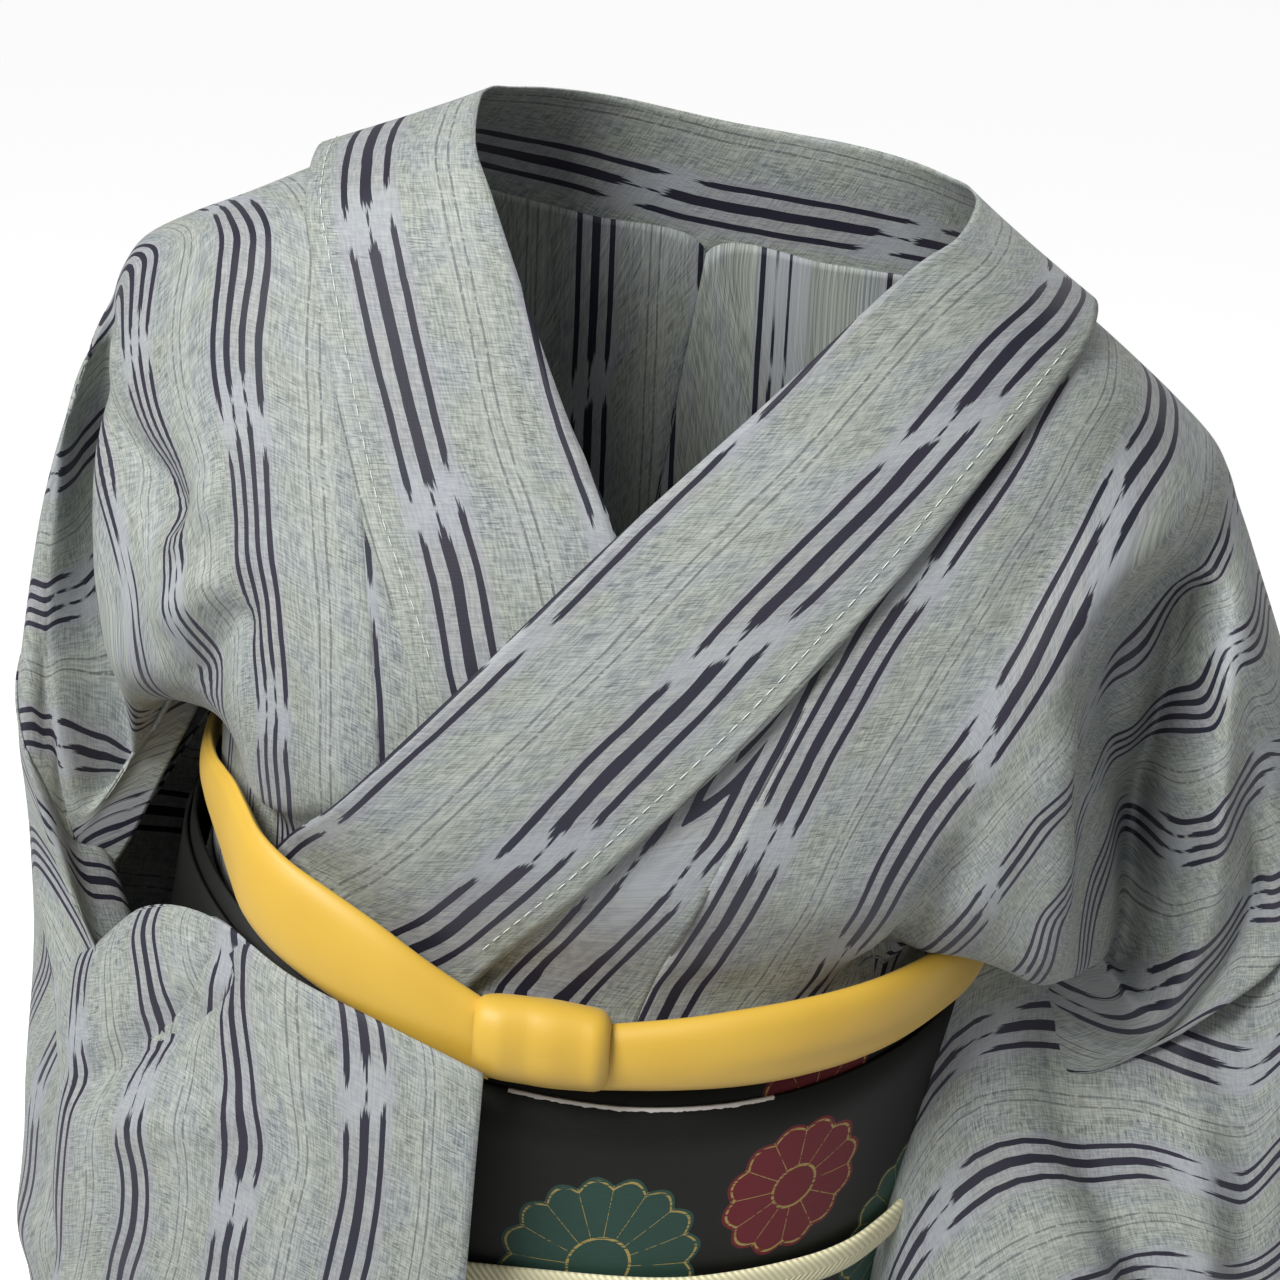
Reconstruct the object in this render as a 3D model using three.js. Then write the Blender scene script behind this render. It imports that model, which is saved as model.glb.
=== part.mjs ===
// A woman's striped silk kimono with its belt, as it hangs when it is worn.
// Millimetres, +Z up. The figure faces -Y, and +X is the wearer's left.
// The origin is at the base of the neck, midway between the two peaks of the collar.

import * as THREE from 'three';

// ---------------------------------------------------------------- driving sizes

const CLOTH = 1.3;                 // one wall of kimono cloth with its turnings
const COLLAR_CLOTH = 2.2;          // the collar is folded over its own core
const BELT_CLOTH = 1.8;            // one turn of the belt
const SEAM_GAP = 0.3;              // between pieces that are sewn together
const LEAN = 8 * Math.PI / 180;    // the trunk leans to the wearer's left
const LEAN_TOP = -300;             // above this height the lean is full
const LEAN_BOTTOM = -640;          // below this height there is none
const ROUND = 2.4;                 // power of the rings: 2 is an ellipse
const WAIST = -310;                // height of the waist's ring
const BELT_HEIGHT = 155;           // the belt is folded to half its width
const BELT_FRONT_TOP = -292;       // its top edge dips at the front
const BELT_SIDE_TOP = -250;
const BELT_STEP = 7;               // the outer turn sits this much lower
const BELT_LIFT = 12.4;            // inside of the belt, out from the waist
const WAIST_EASE = 6;              // the panels' sides stand this far off the waist
const BELT_HALF = 139;             // half the width across the belt
const SCARF_HALF = 131;            // the same at the scarf's top edge
const TUCK = 17;                   // cloth that goes down behind the belt
const TUCK_BOTTOM = -512;          // fold of the waist tuck
const SKIRT_TOP = -442;
const HEM = -1290;
const SHOULDER_Y = 14;             // the line of the shoulders, front to back
const OVER = 7.4;                  // the left front lies this far over the right
const HELD_OVER = 7.0;             // the same where the belt presses on both
const COLLAR_RISE = 4.4;           // the collar's outer face over the panel it is sewn to
const HELD_RISE = 3.1;             // the same under the belt
const UNDER_COLLAR = 2.2;          // the panel's turned edge is pressed in this far

// Heights and half sizes of the cloth's general form, ring by ring.
const FORM = [
  { z: 30, half: 60, front: 38, back: 44, middle: 16 },
  { z: 0, half: 88, front: 52, back: 60, middle: 14 },
  { z: -30, half: 140, front: 66, back: 78, middle: 15 },
  { z: -66, half: 192, front: 82, back: 90, middle: 16 },
  { z: -110, half: 194, front: 98, back: 98, middle: 10 },
  { z: -160, half: 190, front: 111, back: 102, middle: 4 },
  { z: -210, half: 174, front: 115, back: 102, middle: 2 },
  { z: -238, half: 152, front: 110, back: 99, middle: 0 },
  { z: -264, half: 137, front: 104, back: 94, middle: 0 },
  { z: -288, half: 130, front: 100, back: 91, middle: 0 },
  { z: -310, half: 129, front: 100, back: 90, middle: 0 },
  { z: -430, half: 127, front: 98, back: 92, middle: 0 },
  { z: -510, half: 142, front: 106, back: 104, middle: 2 },
  { z: -600, half: 164, front: 116, back: 120, middle: 4 },
  { z: -900, half: 168, front: 120, back: 124, middle: 6 },
  { z: -1300, half: 158, front: 122, back: 122, middle: 6 },
];

// ---------------------------------------------------------------- small tools

const clamp = THREE.MathUtils.clamp;
const lerp = THREE.MathUtils.lerp;

function ease(from, to, value) {
  const t = clamp((value - from) / (to - from), 0, 1);
  return t * t * (3 - 2 * t);
}

// A smooth value through equally spaced numbers, at t from 0 to 1.
function through(numbers, t) {
  const last = numbers.length - 1;
  const place = clamp(t, 0, 1) * last;
  const k = Math.min(Math.floor(place), last - 1);
  const f = place - k;
  const b = numbers[k];
  const c = numbers[k + 1];
  const a = k > 0 ? numbers[k - 1] : 2 * b - c;
  const d = k + 2 <= last ? numbers[k + 2] : 2 * c - b;
  return b + 0.5 * f * (c - a + f * (2 * a - 5 * b + 4 * c - d + f * (3 * (b - c) + d - a)));
}

// The form's half sizes at a height, smooth between its rings.
function formAt(z) {
  const last = FORM.length - 1;
  let k = 0;
  while (k < last - 1 && z < FORM[k + 1].z) k += 1;
  const slope = (i, name) => {
    const hi = Math.max(i - 1, 0);
    const lo = Math.min(i + 1, last);
    return (FORM[lo][name] - FORM[hi][name]) / (FORM[lo].z - FORM[hi].z);
  };
  const span = FORM[k + 1].z - FORM[k].z;
  const t = clamp((z - FORM[k].z) / span, 0, 1);
  const ring = {};
  for (const name of ['half', 'front', 'back', 'middle']) {
    ring[name] = (2 * t ** 3 - 3 * t ** 2 + 1) * FORM[k][name]
      + (t ** 3 - 2 * t ** 2 + t) * span * slope(k, name)
      + (3 * t ** 2 - 2 * t ** 3) * FORM[k + 1][name]
      + (t ** 3 - t ** 2) * span * slope(k + 1, name);
  }
  return ring;
}

// How far forward the form is at a place on the chest.
function chestY(x, z, lift) {
  const ring = formAt(z);
  const share = Math.min(Math.abs(x) / (ring.half + lift), 1);
  return ring.middle - (ring.front + lift) * (1 - share ** ROUND) ** (1 / ROUND);
}

// A place on a ring: angle 0 is the wearer's left side and 90 degrees the front.
function ringPoint(angle, z, lift) {
  const ring = formAt(z);
  const c = Math.cos(angle);
  const s = Math.sin(angle);
  const depth = (s > 0 ? ring.front : ring.back) + lift;
  const x = (ring.half + lift) * Math.sign(c) * Math.abs(c) ** (2 / ROUND);
  const y = ring.middle - depth * Math.sign(s) * Math.abs(s) ** (2 / ROUND);
  return [x, y, z];
}

// The trunk's lean: above the hips everything turns about the neck.
function leaned([x, y, z]) {
  const turn = LEAN * ease(LEAN_BOTTOM, LEAN_TOP, z);
  const steps = 24;
  let reach = Math.max(z, LEAN_TOP);
  const depth = Math.min(z - LEAN_TOP, 0);
  for (let i = 0; i < steps; i += 1) {
    reach += depth / steps * ease(LEAN_BOTTOM, LEAN_TOP, LEAN_TOP + depth * (i + 0.5) / steps);
  }
  return [x * Math.cos(turn) + Math.sin(LEAN) * reach, y, z - x * Math.sin(turn)];
}

// How far forward the cloth is where it goes down behind the belt.
function beltY(x, lift) {
  const ring = formAt(WAIST);
  const share = Math.min(Math.abs(x) / (ring.half + WAIST_EASE), 1);
  return -(ring.front + lift) * (1 - share ** ROUND) ** (1 / ROUND);
}

// The scarf's top edge at the front: above it the cloth pouches out, below it is held in.
function scarfTop(x) {
  const side = clamp(Math.abs(x) / SCARF_HALF, 0, 1);
  return x < 0 ? -266 + 44 * side ** 1.3 : -266 + 30 * side;
}

// The front of the chest, drawn in to the waist below the scarf's top edge.
const heldIn = (x, z) => ease(scarfTop(x) + 36, scarfTop(x) - 14, z);
const frontY = (x, z, lift, heldLift) => lerp(chestY(x, z, lift), beltY(x, heldLift), heldIn(x, z));

function beltTop(x, y) {
  const side = clamp(Math.abs(x) / BELT_HALF, 0, 1) ** 2;
  return y > 0 ? BELT_SIDE_TOP : lerp(BELT_FRONT_TOP, BELT_SIDE_TOP, side);
}

// ---------------------------------------------------------------- solids

const kimono = new THREE.Group();

const SILK = { color: 0xaab0a6, roughness: 0.72, metalness: 0 };
const SCARF_SILK = { color: 0xe5c050, roughness: 0.5, metalness: 0 };
const BELT_SILK = { color: 0x262724, roughness: 0.6, metalness: 0 };
const BRAID = { color: 0xf3efc8, roughness: 0.65, metalness: 0 };

function addMesh(name, finish, positions, faces) {
  let volume = 0;
  const corner = (i) => new THREE.Vector3(...positions[i]);
  for (const [a, b, c] of faces) {
    volume += corner(a).dot(corner(b).cross(corner(c)));
  }
  const outward = volume > 0 ? faces : faces.map(([a, b, c]) => [a, c, b]);
  const geometry = new THREE.BufferGeometry();
  geometry.setAttribute('position', new THREE.Float32BufferAttribute(positions.flat(), 3));
  geometry.setIndex(outward.flat());
  geometry.computeVertexNormals();
  const mesh = new THREE.Mesh(geometry, new THREE.MeshStandardMaterial(finish));
  mesh.name = name;
  kimono.add(mesh);
}

// A wall of cloth. place(u, v) gives its outer face, u across and v along the cloth.
// The wall's thickness goes towards the hollow, whose middle hollow(point) gives.
function addCloth(name, finish, place, { across, along, wall = CLOTH, round = false, hollow }) {
  const columns = round ? across : across + 1;
  const outer = [];
  for (let j = 0; j <= along; j += 1) {
    for (let i = 0; i < columns; i += 1) {
      outer.push(new THREE.Vector3(...place(i / across, j / along)));
    }
  }
  const at = (i, j) => outer[j * columns + (round ? (i + across) % across : clamp(i, 0, across))];
  const normals = [];
  let facing = 0;
  for (let j = 0; j <= along; j += 1) {
    for (let i = 0; i < columns; i += 1) {
      const sideways = at(i + 1, j).clone().sub(at(i - 1, j));
      const lengthways = at(i, Math.min(j + 1, along)).clone().sub(at(i, Math.max(j - 1, 0)));
      const normal = sideways.cross(lengthways).normalize();
      normals.push(normal);
      const middle = new THREE.Vector3(...hollow(at(i, j)));
      facing += Math.sign(normal.dot(at(i, j).clone().sub(middle)));
    }
  }
  const inward = facing > 0 ? -wall : wall;
  const inner = outer.map((point, k) => point.clone().addScaledVector(normals[k], inward));
  const positions = [...outer, ...inner].map((point) => point.toArray());
  const faces = [];
  const count = outer.length;
  const quad = (a, b, c, d) => faces.push([a, b, c], [a, c, d]);
  const id = (i, j) => j * columns + (round ? i % across : i);
  for (let j = 0; j < along; j += 1) {
    for (let i = 0; i < across; i += 1) {
      quad(id(i, j), id(i + 1, j), id(i + 1, j + 1), id(i, j + 1));
      quad(count + id(i, j), count + id(i, j + 1), count + id(i + 1, j + 1), count + id(i + 1, j));
    }
  }
  for (let i = 0; i < across; i += 1) {
    quad(id(i, 0), count + id(i, 0), count + id(i + 1, 0), id(i + 1, 0));
    quad(id(i, along), id(i + 1, along), count + id(i + 1, along), count + id(i, along));
  }
  if (!round) {
    for (let j = 0; j < along; j += 1) {
      quad(id(0, j), id(0, j + 1), count + id(0, j + 1), count + id(0, j));
      quad(id(across, j), count + id(across, j), count + id(across, j + 1), id(across, j + 1));
    }
  }
  addMesh(name, finish, positions, faces);
}

// A soft roll of cloth: ring(u, v) runs round it and v along it, with both ends closed.
function addRoll(name, finish, ring, { around, along }) {
  const positions = [];
  const faces = [];
  for (let j = 0; j <= along; j += 1) {
    for (let i = 0; i < around; i += 1) {
      positions.push(ring(i / around, j / along));
    }
  }
  const id = (i, j) => j * around + (i % around);
  for (let j = 0; j < along; j += 1) {
    for (let i = 0; i < around; i += 1) {
      faces.push([id(i, j), id(i + 1, j), id(i + 1, j + 1)], [id(i, j), id(i + 1, j + 1), id(i, j + 1)]);
    }
  }
  for (const j of [0, along]) {
    const middle = new THREE.Vector3();
    for (let i = 0; i < around; i += 1) {
      middle.add(new THREE.Vector3(...positions[id(i, j)]).divideScalar(around));
    }
    positions.push(middle.toArray());
    const end = positions.length - 1;
    for (let i = 0; i < around; i += 1) {
      faces.push(j === 0 ? [end, id(i + 1, j), id(i, j)] : [end, id(i, j), id(i + 1, j)]);
    }
  }
  addMesh(name, finish, positions, faces);
}

const trunkMiddle = (point) => leaned([0, 0, point.z]);

// ---------------------------------------------------------------- body panels

// Each body panel is one length of cloth from the belt at the front, over the shoulder,
// to the belt at the back. A row is a line across it, and its columns are places on the
// line: the collar or overlap seam, the chest, the edge of the fold at the armpit, the
// valley behind that fold, the crest and the outer side of the arm, and the sleeve seam.
const LEFT_SHOULDER = {
  seam: [128, 14, -26], chest: [154, 15, -41], fold: [188, 16, -64], valley: [202, 14, -84],
  crest: [214, 10, -104], outer: [240, 4, -150], arm: [268, -2, -203],
};
const LEFT_FRONT = [
  { seam: [116, -40, -44], chest: [146, -36, -58], fold: [178, -30, -76], valley: [190, -22, -92],
    crest: [205, -28, -104], outer: [234, -26, -148], arm: [262, -24, -208] },
  { seam: [101, -62, -67], chest: [134, -62, -86], fold: [153, -68, -102], valley: [174, -34, -110],
    crest: [200, -46, -120], outer: [228, -42, -162], arm: [254, -38, -216] },
  { seam: [76, -88, -104], chest: [120, -84, -122], fold: [147, -82, -136], valley: [168, -34, -138],
    crest: [203, -50, -146], outer: [228, -40, -182], arm: [248, -42, -228] },
  { seam: [61, -104, -150], chest: [106, -98, -160], fold: [151, -88, -172], valley: [177, -30, -172],
    crest: [210, -50, -174], outer: [232, -36, -202], arm: [240, -40, -242] },
  { seam: [48, -112, -196], chest: [98, -104, -200], fold: [160, -84, -208], valley: [190, -26, -210],
    crest: [216, -48, -206], outer: [230, -36, -232], arm: [222, -38, -262] },
  { seam: [36, -114, -240], chest: [92, -104, -234], fold: [167, -66, -240], valley: [194, -20, -250],
    crest: [208, -38, -258], outer: [206, -34, -276], arm: [186, -25, -293] },
  { seam: [30, -108, -270], chest: [88, -98, -256], fold: [139, -50, -216], valley: [146, -28, -216],
    crest: [143, -14, -214], outer: [140, -6, -212], arm: [137, 0, -212] },
];
const LEFT_BELT = { seam: 26, chest: 86, fold: 120, valley: 129, crest: 132, outer: 134, arm: 135 };
const LEFT_BACK = [
  { seam: [103, 60, -37], chest: [148, 54, -62], fold: [182, 46, -82], valley: [196, 42, -100],
    crest: [208, 38, -118], outer: [236, 28, -158], arm: [262, 22, -210] },
  { seam: [62, 94, -50], chest: [112, 86, -84], fold: [162, 74, -108], valley: [178, 66, -124],
    crest: [194, 58, -140], outer: [224, 44, -178], arm: [248, 34, -226] },
  { seam: [0, 104, -57], chest: [72, 102, -114], fold: [142, 86, -140], valley: [164, 74, -154],
    crest: [184, 62, -168], outer: [210, 48, -202], arm: [232, 36, -248] },
  { seam: [0, 109, -130], chest: [56, 107, -160], fold: [128, 88, -182], valley: [154, 72, -192],
    crest: [172, 58, -202], outer: [196, 44, -230], arm: [212, 32, -270] },
  { seam: [0, 104, -200], chest: [50, 102, -212], fold: [114, 84, -224], valley: [138, 64, -232],
    crest: [154, 52, -240], outer: [174, 40, -260], arm: [188, 26, -292] },
  { seam: [0, 100, -240], chest: [49, 97, -240], fold: [104, 80, -230], valley: [124, 54, -220],
    crest: [131, 34, -216], outer: [134, 18, -212], arm: [134, 6, -212] },
];
const LEFT_BELT_BACK = { seam: 0, chest: 48, fold: 92, valley: 112, crest: 122, outer: 129, arm: 134 };

const RIGHT_SHOULDER = {
  seam: [131, 14, -27], chest: [162, 15, -47], fold: [194, 16, -69], valley: [202, 12, -92],
  crest: [208, 8, -114], outer: [213, 2, -166], arm: [213, -2, -221],
};
const RIGHT_FRONT = [
  { seam: [120, -40, -44], chest: [156, -32, -62], fold: [194, -8, -84], valley: [199, 2, -100],
    crest: [207, -10, -122], outer: [212, -14, -170], arm: [211, -20, -227] },
  { seam: [110, -58, -68], chest: [147, -56, -92], fold: [194, -20, -114], valley: [197, 4, -130],
    crest: [206, -14, -150], outer: [210, -20, -188], arm: [207, -30, -236] },
  { seam: [100, -74, -97], chest: [136, -74, -125], fold: [189, -38, -148], valley: [190, 2, -164],
    crest: [203, -18, -182], outer: [205, -24, -208], arm: [202, -34, -247] },
  { seam: [90, -92, -130], chest: [126, -88, -160], fold: [179, -54, -184], valley: [180, -6, -198],
    crest: [198, -22, -212], outer: [199, -26, -232], arm: [195, -34, -258] },
  { seam: [78, -106, -170], chest: [115, -96, -194], fold: [166, -62, -212], valley: [170, -12, -230],
    crest: [190, -26, -240], outer: [190, -28, -254], arm: [187, -32, -270] },
  { seam: [70, -112, -206], chest: [107, -98, -220], fold: [157, -54, -232], valley: [166, -12, -256],
    crest: [176, -26, -268], outer: [178, -28, -280], arm: [168, -24, -292] },
  { seam: [62, -108, -246], chest: [101, -94, -240], fold: [136, -38, -200], valley: [142, -20, -198],
    crest: [142, -12, -198], outer: [140, -4, -198], arm: [137, 0, -198] },
];
const RIGHT_BELT = { seam: 57, chest: 96, fold: 119, valley: 128, crest: 132, outer: 134, arm: 135 };
const RIGHT_BACK = [
  { seam: [103, 60, -37], chest: [150, 54, -66], fold: [188, 46, -86], valley: [196, 42, -106],
    crest: [204, 38, -128], outer: [210, 28, -176], arm: [210, 22, -228] },
  { seam: [62, 94, -50], chest: [112, 86, -86], fold: [166, 74, -112], valley: [180, 66, -130],
    crest: [194, 58, -150], outer: [204, 44, -194], arm: [206, 34, -240] },
  { seam: [0, 104, -57], chest: [72, 102, -114], fold: [144, 86, -142], valley: [164, 74, -156],
    crest: [182, 62, -174], outer: [194, 48, -212], arm: [198, 36, -256] },
  { seam: [0, 109, -130], chest: [56, 107, -160], fold: [128, 88, -182], valley: [152, 72, -194],
    crest: [168, 58, -208], outer: [182, 44, -236], arm: [186, 32, -272] },
  { seam: [0, 104, -200], chest: [50, 102, -212], fold: [114, 84, -224], valley: [134, 64, -232],
    crest: [148, 52, -242], outer: [160, 40, -262], arm: [168, 26, -292] },
  { seam: [0, 100, -240], chest: [49, 97, -240], fold: [104, 80, -230], valley: [124, 54, -220],
    crest: [131, 34, -216], outer: [134, 18, -212], arm: [134, 6, -212] },
];
const RIGHT_BELT_BACK = { seam: 0, chest: 48, fold: 92, valley: 112, crest: 122, outer: 129, arm: 134 };

const PIT_ROWS = 2;                // the sleeve seam starts this many rows above the belt
const SEWN_STEPS = 16;             // facets along the sleeve seam, the same on both pieces
const END_STEPS = 4;               // facets from there to the belt
const STATIONS = ['seam', 'chest', 'fold', 'valley', 'crest', 'outer', 'arm'];


// The last row of a panel, behind the belt.
function beltRow(halfWidths, lift, back) {
  const ring = formAt(WAIST);
  const row = {};
  for (const name of STATIONS) {
    const x = Math.min(halfWidths[name], ring.half + WAIST_EASE);
    const share = x / (ring.half + WAIST_EASE);
    const depth = back ? ring.back * (1 - share ** ROUND) ** (1 / ROUND) : beltY(x, lift);
    row[name] = [x, depth, beltTop(x, back ? 1 : -1) - TUCK];
  }
  return row;
}

// The overlap's lift grows from the shoulder down.
const onFront = (z) => ease(-46, -104, z);

function panelUpright(rows, shoulderRow, side, lift, heldLift) {
  return (u, v) => {
    const line = STATIONS.map((name) => [0, 1, 2].map((k) => through(rows.map((row) => row[name][k]), v)));
    const [x, y, z] = [0, 1, 2].map((k) => through(line.map((point) => point[k]), u));
    const isFront = v * (rows.length - 1) < shoulderRow;
    const onChest = isFront ? 1 - ease(0.12, 0.3, u) : 0;
    const raised = lift * onFront(z);
    const share = onChest * ease(0, 26, SHOULDER_Y - y);
    const pushed = isFront ? raised * ease(-290, -262, z) * ease(0.5, 0.2, u) : 0;
    const sunk = isFront ? UNDER_COLLAR * ease(0.1, 0, u) * ease(-108, -84, z) : 0;
    const onSide = side * Math.max(x, SEAM_GAP / 2);
    const hung = lerp(y - pushed, frontY(onSide, z, raised, heldLift), share) + sunk;
    const belted = isFront ? (1 - share) * heldIn(onSide, z) * ease(134, 126, x) : 0;
    return [onSide, lerp(hung, Math.max(hung, beltY(x, heldLift)), belted), z];
  };
}

function addPanel(name, side, { shoulder, front, belt, back, beltBack, lift, heldLift }) {
  const frontRows = [beltRow(belt, heldLift, false), ...[...front].reverse()];
  const rows = [...frontRows, shoulder, ...back, beltRow(beltBack, 0, true)];
  const upright = panelUpright(rows, frontRows.length, side, lift, heldLift);
  const place = (u, v) => leaned(upright(u, v));
  const steps = 2 * END_STEPS + SEWN_STEPS;
  const last = rows.length - 1;
  const rowAt = (v) => {
    const step = v * steps;
    if (step < END_STEPS) return step * PIT_ROWS / END_STEPS;
    if (step > steps - END_STEPS) return last - (steps - step) * PIT_ROWS / END_STEPS;
    return lerp(PIT_ROWS, last - PIT_ROWS, (step - END_STEPS) / SEWN_STEPS);
  };
  const atStep = (u, v) => place(u, rowAt(v) / last);
  addCloth(name, SILK, atStep, { across: 12, along: steps, hollow: trunkMiddle });
  return { place, upright, rows: rows.length, shoulderRow: frontRows.length };
}

const leftPanel = addPanel('body_left', 1, {
  shoulder: LEFT_SHOULDER, front: LEFT_FRONT, belt: LEFT_BELT,
  back: LEFT_BACK, beltBack: LEFT_BELT_BACK, lift: OVER, heldLift: HELD_OVER });
const rightPanel = addPanel('body_right', -1, {
  shoulder: RIGHT_SHOULDER, front: RIGHT_FRONT, belt: RIGHT_BELT,
  back: RIGHT_BACK, beltBack: RIGHT_BELT_BACK, lift: 0, heldLift: 0 });

// ---------------------------------------------------------------- overlap strips

// A strip starts at its point on the collar seam and widens downwards. Its outer side meets
// the body panel, and its other side goes under the collar: x there, at equal steps down.
const OKUMI_LEFT = { panel: leftPanel, pointRow: 4.8, lift: OVER, heldLift: HELD_OVER,
  collarX: [69, 42, 10, -20, -42, -52] };
const OKUMI_RIGHT = { panel: rightPanel, pointRow: 5.2, lift: 0, heldLift: 0,
  collarX: [-91, -72, -50, -28, -7, 13] };

function addStrip(name, side, { panel, pointRow, lift, heldLift, collarX }) {
  const place = (u, v) => {
    const [seamX, , z] = panel.upright(0, lerp(pointRow, 0, v) / (panel.rows - 1));
    const near = seamX - side * SEAM_GAP * 1.8;
    const x = lerp(near, through(collarX, v), u);
    return leaned([x, frontY(x, z, lift, heldLift), z]);
  };
  addCloth(name, SILK, place, { across: 3, along: 12, hollow: trunkMiddle });
}

addStrip('okumi_left', 1, OKUMI_LEFT);
addStrip('okumi_right', -1, OKUMI_RIGHT);

// ---------------------------------------------------------------- collar

// The collar's two edges: the fold that lies at the neck and the seam that holds the body.
// Both tables start at the middle of the back. On the chest the form gives how far forward.
const COLLAR_NECK = [
  { edge: [0, 96, -6], seam: [0, 109, -62] },
  { edge: [46, 85, -3], seam: [66, 99, -56] },
  { edge: [76, 54, 0], seam: [112, 66, -41] },
];
const COLLAR_LEFT = [
  { edge: [89, 14, 0], seam: [136, 14, -24] },
  { edge: [67, -44, -16], seam: [121, -40, -46] }, { edge: [31, -66, -60], seam: [88, -80, -95] },
  { edge: [-11, -92, -109], seam: [50, -108, -152] }, { edge: [-52, -110, -165], seam: [12, -118, -205] },
  { edge: [-94, -105, -228], seam: [-28, -114, -266] }, { edge: [-120, -50, -281], seam: [-44, -108, -305] },
];
const COLLAR_RIGHT = [
  { edge: [-87, 14, 1], seam: [-138, 14, -25] },
  { edge: [-70, -38, -22], seam: [-122, -46, -58] }, { edge: [-37, -70, -72], seam: [-95, -84, -114] },
  { edge: [-12, -88, -105], seam: [-72, -98, -150] }, { edge: [26, -108, -168], seam: [-46, -110, -196] },
  { edge: [60, -104, -230], seam: [-18, -110, -242] }, { edge: [87, -85, -292], seam: [7, -106, -308] },
];

function addCollar() {
  const mirrored = (row) => ({ edge: [-row.edge[0], row.edge[1], row.edge[2]],
    seam: [-row.seam[0], row.seam[1], row.seam[2]] });
  const rows = [...[...COLLAR_RIGHT].reverse(), ...[...COLLAR_NECK.slice(1)].reverse().map(mirrored),
    ...COLLAR_NECK, ...COLLAR_LEFT];
  const middle = (rows.length - 1) / 2;
  const place = (u, v) => {
    const at = (name, k) => through(rows.map((row) => row[name][k]), v);
    const [x, y, z] = [0, 1, 2].map((k) => lerp(at('edge', k), at('seam', k), u));
    const isLeft = v * (rows.length - 1) > middle;
    const raised = COLLAR_RISE + (isLeft ? OVER * onFront(z) : 0);
    const onChest = ease(0, 20, SHOULDER_Y - 2 - y);
    const held = HELD_RISE + (isLeft ? HELD_OVER : 0);
    return leaned([x, lerp(y, frontY(x, z, raised, held), onChest), z]);
  };
  addCloth('collar', SILK, place, { across: 3, along: 42, wall: COLLAR_CLOTH, hollow: trunkMiddle });
}

addCollar();

// ---------------------------------------------------------------- waist tuck and skirt

const QUARTER = Math.PI / 2;
const TUCK_CLOTH = 2.4;
const TUCK_LIFT = 7.2;
const TUCK_OVER = 11.1;
const SKIRT_OVER = 2.8;

// Angles run from the middle of the back (-1) over the wearer's left side (0) to the front (1)
// and on to the wearer's right side (2), in quarter turns.
function addWrap(name, from, to, { top, bottom, lift, wall, across, along, crowd = 1 }) {
  const place = (u, v) => {
    const angle = lerp(from, to, u) * QUARTER;
    const waist = ringPoint(angle, WAIST, 0);
    const z = lerp(top(waist[0], waist[1]), bottom(lerp(from, to, u)), v ** crowd);
    const [x, y] = ringPoint(angle, Math.min(z, WAIST), lift(lerp(from, to, u)));
    return leaned([x, y, z]);
  };
  addCloth(name, SILK, place, { across, along, wall, hollow: trunkMiddle });
}

const seamAngle = SEAM_GAP / 2 / 120;
const tuckTop = (x, y) => beltTop(x, y) - TUCK - 8;
const tuckSizes = { top: tuckTop, bottom: () => TUCK_BOTTOM, wall: TUCK_CLOTH, along: 4 };
const overFrom = (inner, outer, start) => (place) => lerp(inner, outer, ease(start, start + 0.3, place));

addWrap('tuck_left', -1 + seamAngle, 1.04,
  { ...tuckSizes, lift: overFrom(TUCK_LIFT, TUCK_OVER, 0.1), across: 12 });
addWrap('okumi_left_tuck', 1.044, 1.74, { ...tuckSizes, lift: () => TUCK_OVER, across: 5 });
addWrap('tuck_right', 3 - seamAngle, 1.3, { ...tuckSizes, lift: () => TUCK_LIFT, across: 12 });
addWrap('okumi_right_tuck', 1.296, 0.62, { ...tuckSizes, lift: () => TUCK_LIFT, across: 5 });

const skirtSizes = { top: () => SKIRT_TOP, wall: CLOTH, along: 7, crowd: 1.8 };
const levelHem = () => HEM;
const risingHem = (place) => HEM + 16 * ease(1.3, 1.8, place);

addWrap('skirt_left', -1 + seamAngle, 1.16,
  { ...skirtSizes, bottom: levelHem, lift: overFrom(0, SKIRT_OVER, -0.15), across: 14 });
addWrap('okumi_left_skirt', 1.164, 1.81,
  { ...skirtSizes, bottom: risingHem, lift: () => SKIRT_OVER, across: 5 });
addWrap('skirt_right', 3 - seamAngle, 0.84,
  { ...skirtSizes, bottom: levelHem, lift: () => 0, across: 14 });
addWrap('okumi_right_skirt', 0.836, 0.19, { ...skirtSizes, bottom: () => HEM + 8, lift: () => 0, across: 5 });

// ---------------------------------------------------------------- sleeves

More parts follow.
